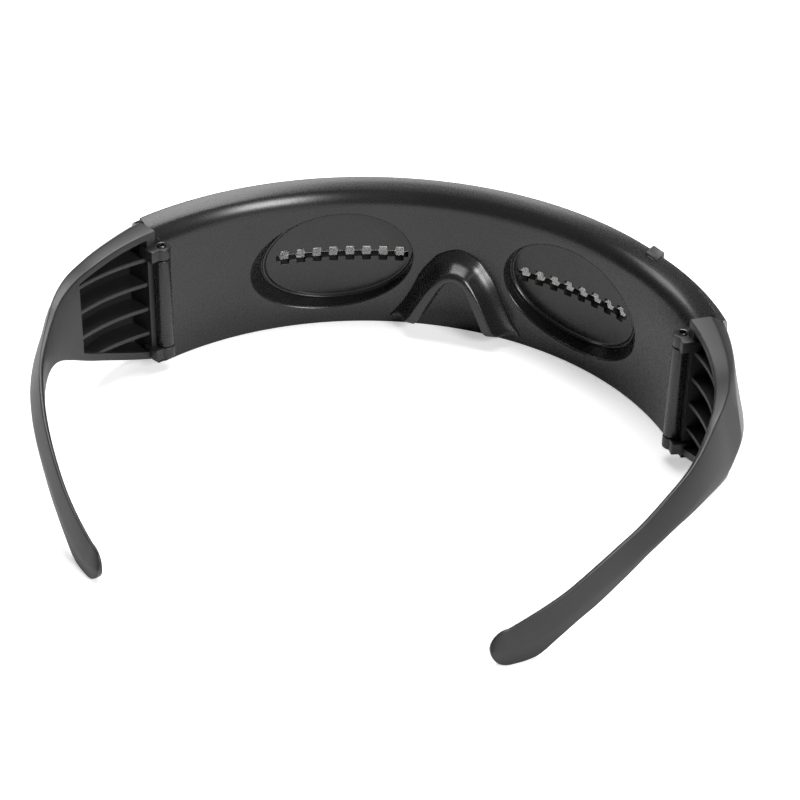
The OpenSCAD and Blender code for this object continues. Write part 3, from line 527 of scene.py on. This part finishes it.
def tooth_outline():
    """The slot's outline: a narrow gap with eight taller notches."""
    top = []
    for k in range(TEETH):
        middle = (k - (TEETH - 1) / 2) * TOOTH_PITCH
        left, right = middle - NOTCH_HALF, middle + NOTCH_HALF
        top += [(left, GAP_HALF), (left, NOTCH_TOP), (right, NOTCH_TOP), (right, GAP_HALF)]
    end = (TEETH - 1) / 2 * TOOTH_PITCH + SLOT_OVERRUN
    top = [(-end, GAP_HALF)] + top + [(end, GAP_HALF)]
    outline = top + [(x, -z) for x, z in reversed(top)]
    return [Vector((x, 0, z + SLOT_Z)) for x, z in reversed(outline)]


PLATE_BLACK = moulded_plastic("plate_black", (0.009, 0.009, 0.0095), (0.012, 0.012, 0.0125),
                              roughness=0.26, grain=400.0, bump=0.0)
for side, word in ((-1, "left"), (1, "right")):
    front = [(3, PLATE_R + PLATE_THICK), (-PLATE_MARGIN, PLATE_R + PLATE_THICK), (-PLATE_MARGIN, PLATE_R)]
    ridge = [(0.04, PLATE_R), (0.04, PLATE_R - RIDGE), (0.28, PLATE_R - RIDGE), (0.45, PLATE_R - 0.4),
             (0.62, PLATE_R - 0.2), (0.8, PLATE_R - 0.05), (1.0, PLATE_R), (3, PLATE_R)]
    shape = bmesh.new()
    loops = []
    for shrink, depth in front + ridge:
        ring = [shape.verts.new(p) for p in plate_ring(shrink, depth)]
        loops.append([shape.edges.new((ring[k - 1], ring[k])) for k in range(len(ring))])
    for first, second in zip(loops, loops[1:]):
        bmesh.ops.bridge_loops(shape, edges=first + second)
    bmesh.ops.holes_fill(shape, edges=[e for e in shape.edges if e.is_boundary], sides=0)
    blank = flat_piece("blank", shape)
    shape = bmesh.new()
    teeth = tooth_outline()
    corners = rounded_loop(teeth, [NOTCH_ROUND] * len(teeth), 3)
    edges = shape.faces.new([shape.verts.new((p.x, PLATE_R - 2, p.z)) for p in corners]).edges[:]
    for step, rise in ((2 + SILL_DEPTH, 0), (PLATE_THICK - SILL_DEPTH, SILL_RISE), (1, 0)):
        grown = bmesh.ops.extrude_edge_only(shape, edges=edges)["geom"]
        moved = [v for v in grown if isinstance(v, bmesh.types.BMVert)]
        edges = [e for e in grown if isinstance(e, bmesh.types.BMEdge)]
        bmesh.ops.translate(shape, verts=moved, vec=(0, step, 0))
        bmesh.ops.translate(shape, verts=[v for v in moved if v.co.z < SLOT_Z], vec=(0, 0, rise))
    bmesh.ops.holes_fill(shape, edges=edges, sides=0)
    cut(blank, flat_piece("slot", shape))
    shape = bmesh.new()
    shape.from_mesh(blank.data)
    bpy.data.objects.remove(blank)
    sharp = [e for e in shape.edges if e.is_manifold and e.calc_face_angle(0) > math.radians(50)
             and abs(e.verts[0].co.y - PLATE_R) < 0.01 and abs(e.verts[1].co.y - PLATE_R) < 0.01]
    bmesh.ops.bevel(shape, geom=sharp, offset=0.14, segments=2, profile=0.5, affect="EDGES", material=-1)
    plate = new_piece(f"plate_{word}", wrapped(shape, SLOT_TURN, side))
    dress(plate, PLATE_BLACK, 12)
    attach(plate, "visor")
    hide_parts(f"eye_plate_{word}")

# Front lens.
# A clear shell vacuum-coated like a half mirror: silver from outside, grey-green to look
# through. Only its ledge shows past the rim and its inner face through the slots.
LENS_REAR = 80.6
LENS_BULGE = [(1, 82.8), (9, 83.75), (19.35, 84.6), (29.7, 84.2), (37.7, 83.3)]
LENS_WALL = 1.7
LENS_FOOT, LENS_TOP = 1, 37.7
LENS_STEPS = 16
heights = [LENS_FOOT + (LENS_TOP - LENS_FOOT) * k / LENS_STEPS for k in range(LENS_STEPS + 1)]
outside = [(smooth_value(LENS_BULGE, z), z) for z in heights]
inside = [(smooth_value(LENS_BULGE, z) - LENS_WALL, z) for z in (36, 32, 28, 24, 20, 16, 12, 8, 2.7)]
profile = ([(LENS_REAR, LENS_FOOT)] + outside + [(LENS_REAR, LENS_TOP), (LENS_REAR, 36)] + inside
           + [(LENS_REAR, 2.7)])
rounds = [0.25, 0.5] + [0] * (LENS_STEPS - 1) + [0.5, 0.25, 0] + [0] * (len(inside) + 1)
front_lens = new_piece("mirror_lens", swept(profile, rounds, VISOR_HALF - END_OVERLAP, SHELL_STEPS))
for end in (-1, 1):
    shape = bmesh.new()
    outline = ([(LENS_REAR + 0.1, LENS_FOOT + 0.1)] + [(r - 0.1, z) for r, z in outside[1:-1]]
               + [(LENS_REAR + 0.1, LENS_TOP - 0.1)])
    shape.faces.new([shape.verts.new((r, 0, z)) for r, z in outline])
    start = 90 - end * (VISOR_HALF - 2 * END_OVERLAP)
    bmesh.ops.rotate(shape, verts=shape.verts, cent=(0, 0, 0),
                     matrix=Matrix.Rotation(math.radians(start), 3, "Z"))
    grown = bmesh.ops.extrude_face_region(shape, geom=shape.faces[:])
    moved = [v for v in grown["geom"] if isinstance(v, bmesh.types.BMVert)]
    bmesh.ops.rotate(shape, verts=moved, cent=(0, 0, 0),
                     matrix=Matrix.Rotation(math.radians(end * END_WALL), 3, "Z"))
    cut(front_lens, new_piece("lens_end", shape), "UNION")
LENS_SILVER = moulded_plastic("lens_silver", (0.45, 0.46, 0.44), (0.5, 0.51, 0.49),
                              roughness=0.1, grain=900.0, bump=0.01, metallic=0.45)
LENS_SILVER.node_tree.nodes["Principled BSDF"].inputs["Transmission Weight"].default_value = 1.0
dress(front_lens, LENS_SILVER)
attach(front_lens, "visor")
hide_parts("front_lens")

# Temples.
# Each arm is a black ABS moulding: a deep bow behind the hinge that thins to a flat paddle.
# The bow's inner side is cored out to an even skin, with four curved ribs across the window.
HINGE_X = 64.995
HINGE_Y = 18.8015
BOW = (Vector((26.1, -31.6)), 51.1)
BLADE_R = 88.0
BOW_START = math.radians(37.8)
BOW_END = math.radians(-25)
BOW_LENGTH = (BOW_START - BOW_END) * BOW[1]
TIP_ROUND = 4.3
TIP_MIDDLE = 1.05
TIP_THIN = 0.45
ARM_LENGTH = 101.9
TOP_HEIGHT = [(-1, 39.5), (10, 38.1), (19, 36.9), (25, 36.4), (30, 35.7), (35.5, 34.4), (39.6, 32.5),
              (43.7, 30.7), (48, 29.1), (55.6, 27), (61, 24.9), (66, 22.8), (70.7, 21.1), (76.4, 18.5),
              (80.3, 16.5), (84.3, 14.4), (88.6, 12.5), (93, 10.7), (98, 8.6)]
TOP_REACH = [(-1, 5.2), (10, 4), (19, 3.4), (25, 3), (30, 2.5), (35.5, 1.8), (40, 1.35), (48, 1), (60, 0.9),
             (90, 0.8), (98, 0.75)]
RIDGE_HEIGHT = [(-1, 37.4), (8.3, 36.4), (17.9, 35.7), (22.6, 34.6), (26, 32.6), (28, 29.6), (29.4, 26.6),
                (34, 24.6), (40.3, 23.7), (47.5, 22.5), (55.7, 20.5), (60, 19.2), (66, 17.4), (72, 14.9),
                (80, 11), (90, 5.6), (98, 3.4)]
RIDGE_REACH = [(-1, 8.6), (8.3, 6.8), (17.9, 5), (22.6, 4.8), (26, 5.3), (28, 6.2), (29.4, 7), (34, 5.7),
               (40.3, 4.5), (47.5, 3.8), (55.7, 3.4), (66, 3), (72, 2.6), (80, 2.3), (98, 2.2)]
FACET_HEIGHT = [(-1, 25), (20, 25), (27, 25.4), (29.4, 25.6), (33, 23.7), (37.3, 21.9), (45.3, 21.3),
                (55, 19.9), (59.3, 18.7), (64, 17), (67, 15.4), (72.7, 12.1), (77.6, 9.3), (82.3, 6.9),
                (87, 3.9), (91, 1.2), (94, 0.6), (98, 0.4)]
FACET_REACH = [(-1, 9.2), (8, 8.5), (20, 7.8), (29.4, 7.1), (33, 6.4), (37.3, 5.6), (45.3, 4.3), (55, 3.5),
               (64, 3.1), (72.7, 2.5), (80, 2.3), (98, 2.2)]
FOOT_HEIGHT = [(-1, 1.9), (6.4, 2.6), (11.5, 4.5), (15.4, 6.4), (19.7, 8.8), (24.4, 11.5), (29.7, 15),
               (36, 18.7), (40.5, 20.3), (45.3, 21), (55, 19.7), (59.3, 18.5), (64, 16.8), (67, 15.2),
               (72.7, 11.9), (77.6, 9), (82.3, 6.5), (87, 3.5), (91, 0.8), (94, 0.1), (98, 0)]
FOOT_REACH = [(-1, 8.2), (11.5, 7.7), (15.4, 6.8), (19.7, 5.7), (24.4, 5), (29.7, 4.6), (36, 4.6),
              (40.5, 4.5), (45.3, 4.1), (55, 3.3), (72.7, 2.4), (80, 2.2), (98, 2.1)]
INNER_FOOT = [(-1, 1.9), (3, 2.9), (7.7, 4.5), (12.4, 6.4), (17.6, 8.8), (23.1, 11.5), (29.2, 15),
              (36.2, 18.8), (41.1, 20.4), (46, 20.9), (51.6, 20.5), (56.4, 19.7), (61, 18.4),
              (65.7, 16.6), (68.8, 15.1), (74.3, 12), (79.1, 9.2), (84.1, 6.4), (88.9, 3.4),
              (93, 0.9), (96, 0.1), (98, 0)]


def arm_point(along, out, height):
    """A point of the right arm from the distance along its inner bow, the reach out and height."""
    centre, radius = BOW
    if along <= BOW_LENGTH:
        angle = BOW_START - along / radius
    else:
        angle = BOW_END - (along - BOW_LENGTH) / BLADE_R
        centre = centre + (radius - BLADE_R) * Vector((math.cos(BOW_END), math.sin(BOW_END)))
        radius = BLADE_R
    lean = min(angle, math.radians(90 - VISOR_HALF))
    x = centre.x + radius * math.cos(angle) + out * math.cos(lean)
    y = centre.y + radius * math.sin(angle) + out * math.sin(lean) + HINGE_Y - VISOR_AXIS_Y
    return Vector((x, y, height))


def arm_section(along):
    at = min(along, ARM_LENGTH - TIP_ROUND)
    top, ridge, facet = (smooth_value(c, at) for c in (TOP_HEIGHT, RIDGE_HEIGHT, FACET_HEIGHT))
    corners = [(0, smooth_value(INNER_FOOT, at)), (0, top - 0.45), (smooth_value(TOP_REACH, at), top),
               (smooth_value(RIDGE_REACH, at), ridge), (smooth_value(FACET_REACH, at), facet),
               (smooth_value(FOOT_REACH, at), smooth_value(FOOT_HEIGHT, at))]
    past = (along - at) / TIP_ROUND
    if past > 0:
        close = math.sqrt(1 - past ** 2)
        thin = TIP_THIN + (1 - TIP_THIN) * close
        corners = [(TIP_MIDDLE + (u - TIP_MIDDLE) * thin, TIP_ROUND + (z - TIP_ROUND) * close)
                   for u, z in corners]
    return rounded_loop([arm_point(along, u, z) for u, z in corners], [0.6, 0.45, 0.45, 0.7, 0.7, 0.6])


straight = ARM_LENGTH - TIP_ROUND
ARM_STEPS = 84
stations = [straight * k / ARM_STEPS for k in range(ARM_STEPS + 1)]
stations += [straight + TIP_ROUND * math.sin(math.radians(turn))
             for turn in (10, 20, 30, 40, 50, 60, 70, 80, 86)]
arm = new_piece("arm_right", ring_solid([arm_section(s) for s in stations]))

# the cored-out window
FRAME = 2.2
ARM_SKIN = 1.6
WINDOW_START, WINDOW_END = FRAME + 0.2, 25.3
WINDOW_STEPS = 20
WINDOW_FACET = 24.6
rings = []
for k in range(WINDOW_STEPS + 1):
    at = WINDOW_START + (WINDOW_END - WINDOW_START) * k / WINDOW_STEPS
    low, high = smooth_value(INNER_FOOT, at) + FRAME, smooth_value(TOP_HEIGHT, at) - FRAME
    ridge = min(high, smooth_value(RIDGE_HEIGHT, at)) - 1.1
    corners = [(-2, low), (-2, high), (smooth_value(TOP_REACH, at) - 0.7, high),
               (smooth_value(RIDGE_REACH, at) - 1.1 - ARM_SKIN / 2, ridge),
               (smooth_value(FACET_REACH, at) - ARM_SKIN, WINDOW_FACET),
               (smooth_value(FOOT_REACH, at) - ARM_SKIN + 0.3, low)]
    rings.append(rounded_loop([arm_point(at, u, z) for u, z in corners], [0, 0, 0.4, 0.6, 0.6, 0.4]))
cut(arm, new_piece("window", ring_solid(rings)))

# four ribs follow the bow inside the window
RIB_START = 9.4
RIB_PITCH = 7
RIB_THICK = 1.2
RIB_SLOPE = 0.0767
RIB_COUNT = 4
RIB_STEPS = 18
RIB_END = WINDOW_END + 1.4
BOW_FACET = 25
for i in range(RIB_COUNT):
    rings = []
    for k in range(RIB_STEPS + 1):
        at = FRAME / 2 + (RIB_END - FRAME / 2) * k / RIB_STEPS
        back = arm_point(at, 0, 0).y - HINGE_Y + VISOR_AXIS_Y
        low = max(RIB_START + RIB_PITCH * i - RIB_SLOPE * back, smooth_value(INNER_FOOT, at) + FRAME / 2)
        widest, ridge = smooth_value(FACET_REACH, at), smooth_value(RIDGE_REACH, at)
        if low > BOW_FACET:
            above = smooth_value(RIDGE_HEIGHT, at) - BOW_FACET
            end = widest + (ridge - widest) * (low - BOW_FACET) / above
        else:
            foot = smooth_value(FOOT_HEIGHT, at)
            end = (smooth_value(FOOT_REACH, at) * (BOW_FACET - low) / (BOW_FACET - foot)
                   + widest * (low - foot) / (BOW_FACET - foot))
        end -= ARM_SKIN / 2
        corners = [(0.6, low), (0.6, low + RIB_THICK), (end, low + RIB_THICK), (end, low)]
        rings.append(rounded_loop([arm_point(at, u, z) for u, z in corners], [0.25, 0.25, 0, 0], 2))
    cut(arm, new_piece("rib", ring_solid(rings)), "UNION")

# two ring lugs, above and below the shell's barrel
LUG_R = 2.2
LUG_HEIGHT = 3.1
LUG_GAP = 0.25
LUG_EDGE = 0.02
for low in (KNUCKLE[0] - LUG_GAP - LUG_HEIGHT, KNUCKLE[1] + LUG_GAP):
    ring_lug = upright_prism(circle_outline(0, 0, LUG_R), low, low + LUG_HEIGHT, 0.3)
    lug_arm = upright_prism([(0.2, -1.15), (4.1, -1.15), (4.1, 3.8), (1.25, 3.8), (1.25, 1.9), (0.2, 1.9)],
                            low + LUG_EDGE, low + LUG_HEIGHT - LUG_EDGE, 0.25)
    for shape in (ring_lug, lug_arm):
        bmesh.ops.rotate(shape, verts=shape.verts, cent=(0, 0, 0),
                         matrix=Matrix.Rotation(math.radians(-VISOR_HALF), 3, "Z"))
        bmesh.ops.translate(shape, verts=shape.verts, vec=(HINGE_X, HINGE_Y - VISOR_AXIS_Y, 0))
        cut(arm, new_piece("lug", shape), "UNION")
bore = upright_prism(circle_outline(HINGE_X, HINGE_Y - VISOR_AXIS_Y, PIN_BORE_R, 24), 0, 38)
cut(arm, new_piece("bore", bore))

TEMPLE_BLACK = moulded_plastic("temple_black", (0.012, 0.012, 0.0125), (0.017, 0.017, 0.018),
                               roughness=0.38)
shape = bmesh.new()
shape.from_mesh(arm.data)
bmesh.ops.scale(shape, verts=shape.verts, vec=(-1, 1, 1))
bmesh.ops.reverse_faces(shape, faces=shape.faces)
other = bpy.data.objects.new("arm_left", bpy.data.meshes.new("arm_left"))
shape.to_mesh(other.data)
shape.free()
bpy.context.scene.collection.objects.link(other)
for piece, word in ((arm, "right"), (other, "left")):
    dress(piece, TEMPLE_BLACK)
    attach(piece, f"temple_{word}")
    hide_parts(f"temple_{word}")

# Hinge pins.
# Blackened steel rivets: the shank turns in the barrel and lugs, and the upper end is
# rolled over into a small cup that shows as a ring on the lug.
SHANK = [(0, 3.7), (0.7, 3.7), (0.8, 3.8), (0.8, 34.75)]
ROLLED_HEAD = [(1.25, 34.75), (1.25, 35.05), (1.1, 35.25), (0.92, 35.2), (0.84, 34.9), (0.76, 32.8),
               (0, 32.7)]
PIN_BLACK = moulded_plastic("pin_black", (0.1, 0.1, 0.1), (0.13, 0.13, 0.13),
                            roughness=0.34, grain=3500.0, bump=0.04, metallic=1.0)
for side, word in ((-1, "left"), (1, "right")):
    shape = bmesh.new()
    verts = [shape.verts.new((r, 0, z)) for r, z in SHANK + ROLLED_HEAD]
    edges = [shape.edges.new(pair) for pair in zip(verts, verts[1:])]
    bmesh.ops.spin(shape, geom=verts + edges, cent=(0, 0, 0), axis=(0, 0, 1), angle=2 * math.pi,
                   steps=32, use_merge=True)
    bmesh.ops.remove_doubles(shape, verts=shape.verts, dist=0.001)
    bmesh.ops.translate(shape, verts=shape.verts, vec=(side * HINGE_X, HINGE_Y - VISOR_AXIS_Y, 0))
    pin = new_piece(f"rivet_{word}", shape)
    dress(pin, PIN_BLACK)
    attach(pin, "visor")
    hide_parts(f"hinge_pin_{word}")

# Push button.
# A small black cap on the rim; it follows the rim's slope and sits in its notch on a neck and
# a flange that keep it from falling out.
CAP_WIDTH = 4.3
NECK = (1.2, 78.3, 79.5, 36, 39.1)
FLANGE = (2.1, 77.95, 79.85, 35.85, 36.55)
shape = bmesh.new()
side_view = [(78.6, 38.95), (81, 38.95), (81, 40.85), (80.75, 41), (79.2, 40.15), (78.75, 39.75),
             (78.6, 39.45)]
face = shape.faces.new([shape.verts.new((-CAP_WIDTH / 2, y, z)) for y, z in side_view])
grown = bmesh.ops.extrude_face_region(shape, geom=[face])
moved = [v for v in grown["geom"] if isinstance(v, bmesh.types.BMVert)]
bmesh.ops.translate(shape, verts=moved, vec=(CAP_WIDTH, 0, 0))
bmesh.ops.recalc_face_normals(shape, faces=shape.faces)
sharp = [e for e in shape.edges if e.calc_face_angle(0) > math.radians(25)]
bmesh.ops.bevel(shape, geom=sharp, offset=0.22, segments=3, profile=0.5, affect="EDGES", material=-1)
cap = new_piece("button", turned(shape, BUTTON_TURN))
for half, rear, front, low, high in (NECK, FLANGE):
    stem = upright_prism([(-half, rear), (half, rear), (half, front), (-half, front)], low, high, 0.1)
    cut(cap, new_piece("stem", turned(stem, BUTTON_TURN)), "UNION")
BUTTON_BLACK = moulded_plastic("button_black", (0.04, 0.04, 0.041), (0.05, 0.05, 0.052), roughness=0.42)
dress(cap, BUTTON_BLACK)
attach(cap, "button")
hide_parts("button_key")

# Parts inside the shell.
# Circuit boards, lamps, switch, socket, battery and leads keep their CAD shapes; they are
# hidden in use and each has its own finish.
CHIP_BLACK = moulded_plastic("chip_black", (0.018, 0.018, 0.018), (0.025, 0.025, 0.025), roughness=0.55)
LEAD_BLACK = moulded_plastic("lead_black", (0.028, 0.028, 0.045), (0.035, 0.035, 0.055), roughness=0.5)
STEEL = moulded_plastic("steel", (0.6, 0.6, 0.61), (0.66, 0.66, 0.67),
                        roughness=0.32, grain=3500.0, bump=0.04, metallic=1.0)
inside = {
    "lamp_board": moulded_plastic("board_black", (0.02, 0.02, 0.022), (0.03, 0.03, 0.032),
                                  roughness=0.4, grain=1800.0, bump=0.03),
    "lamps": moulded_plastic("lamp", (0.82, 0.74, 0.3), (0.88, 0.82, 0.42),
                             roughness=0.2, grain=1500.0, bump=0.02),
    "control_board": moulded_plastic("board_green", (0.024, 0.17, 0.065), (0.036, 0.23, 0.095),
                                     roughness=0.35, grain=1800.0, bump=0.05),
    "control_chip": CHIP_BLACK,
    "tact_plunger": CHIP_BLACK,
    "board_components": moulded_plastic("component", (0.44, 0.36, 0.25), (0.55, 0.47, 0.34),
                                        roughness=0.5, grain=2200.0, bump=0.05),
    "board_screws": STEEL,
    "charging_socket": STEEL,
    "tact_switch": moulded_plastic("switch_metal", (0.52, 0.52, 0.53), (0.58, 0.58, 0.59),
                                   roughness=0.4, grain=3500.0, bump=0.04, metallic=1.0),
    "battery_cell": moulded_plastic("battery_foil", (0.68, 0.69, 0.7), (0.73, 0.74, 0.75),
                                    roughness=0.3, grain=700.0, bump=0.3, metallic=0.9),
    "battery_leads": moulded_plastic("lead_red", (0.42, 0.025, 0.025), (0.5, 0.04, 0.04), roughness=0.5),
    "lamp_leads": LEAD_BLACK,
}
for name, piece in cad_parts.items():
    for start, material in inside.items():
        if name.startswith(start) and not (start == "lamps" and name.startswith("lamp_")):
            dress(piece, material)
for name in ("rear_shell", "eye_plate_left", "eye_plate_right"):
    dress(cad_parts[name], SHELL_BLACK if name == "rear_shell" else PLATE_BLACK)
dress(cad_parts["front_lens"], LENS_SILVER)
dress(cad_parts["button_key"], BUTTON_BLACK)
for word in ("left", "right"):
    dress(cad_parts[f"temple_{word}"], TEMPLE_BLACK)
    dress(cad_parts[f"hinge_pin_{word}"], PIN_BLACK)


# Studio.
# A wide white floor that runs out of sight, a large softbox overhead and a small one from each
# side. The floor glows only for the camera, so it looks white and still keeps the shadow.
def softbox(name, place, target, width, height, power):
    lamp = bpy.data.lights.new(name, "AREA")
    lamp.shape = "RECTANGLE"
    lamp.size = width
    lamp.size_y = height
    lamp.energy = power
    stand = bpy.data.objects.new(name, lamp)
    bpy.context.scene.collection.objects.link(stand)
    stand.location = place
    aim = Vector(target) - Vector(place)
    stand.rotation_euler = aim.to_track_quat("-Z", "Y").to_euler()


softbox("overhead", (0.0, 0.3, 0.9), (0, 0, 0), 0.9, 0.5, 11)
softbox("right_box", (0.75, -0.5, 0.55), (0, 0, 0.02), 0.4, 0.4, 10)
softbox("left_box", (-0.9, 0.25, 0.5), (0, 0, 0.02), 0.4, 0.4, 2.5)

floor_mesh = bpy.data.meshes.new("floor")
shape = bmesh.new()
bmesh.ops.create_grid(shape, x_segments=1, y_segments=1, size=3.0)
shape.to_mesh(floor_mesh)
shape.free()
floor = bpy.data.objects.new("floor", floor_mesh)
bpy.context.scene.collection.objects.link(floor)
FLOOR_WHITE = bpy.data.materials.new("floor_white")
FLOOR_WHITE.use_nodes = True
nodes, links = FLOOR_WHITE.node_tree.nodes, FLOOR_WHITE.node_tree.links
paper = nodes["Principled BSDF"]
paper.inputs["Base Color"].default_value = (0.85, 0.85, 0.85, 1)
paper.inputs["Roughness"].default_value = 0.9
paper.inputs["Specular IOR Level"].default_value = 0.0
glow = nodes.new("ShaderNodeEmission")
glow.inputs["Color"].default_value = (1, 1, 1, 1)
seen = nodes.new("ShaderNodeLightPath")
reach = nodes.new("ShaderNodeMath")
reach.operation = "MAXIMUM"
links.new(seen.outputs["Is Camera Ray"], reach.inputs[0])
links.new(seen.outputs["Is Transmission Ray"], reach.inputs[1])
amount = nodes.new("ShaderNodeMapRange")
amount.inputs["To Max"].default_value = 0.42
links.new(reach.outputs["Value"], amount.inputs["Value"])
links.new(amount.outputs["Result"], glow.inputs["Strength"])
both = nodes.new("ShaderNodeAddShader")
links.new(paper.outputs["BSDF"], both.inputs[0])
links.new(glow.outputs["Emission"], both.inputs[1])
links.new(both.outputs["Shader"], nodes["Material Output"].inputs["Surface"])
floor_mesh.materials.append(FLOOR_WHITE)

world = bpy.data.worlds.new("studio")
bpy.context.scene.world = world
world.use_nodes = True
nodes, links = world.node_tree.nodes, world.node_tree.links
dim = nodes["Background"]
dim.inputs["Color"].default_value = (1, 1, 1, 1)
seen = nodes.new("ShaderNodeLightPath")
strength = nodes.new("ShaderNodeMapRange")
strength.inputs["To Min"].default_value = 0.1
strength.inputs["To Max"].default_value = 1.0
links.new(seen.outputs["Is Camera Ray"], strength.inputs["Value"])
links.new(strength.outputs["Result"], dim.inputs["Strength"])

# Camera.
# It stands behind and above the glasses, a little to the wearer's right, as in the photograph.
lens = bpy.data.cameras.new("photo_view")
lens.sensor_width = 36
lens.lens = 94.03
camera = bpy.data.objects.new("photo_view", lens)
bpy.context.scene.collection.objects.link(camera)
camera.matrix_world = Matrix((
    (0.95591, -0.17295, 0.2373, 0.11995),
    (0.29306, 0.51138, -0.80784, -0.39930),
    (0.01837, 0.84177, 0.53952, 0.2817),
    (0, 0, 0, 1)))
bpy.context.scene.camera = camera
bpy.context.scene.view_settings.view_transform = "Standard"
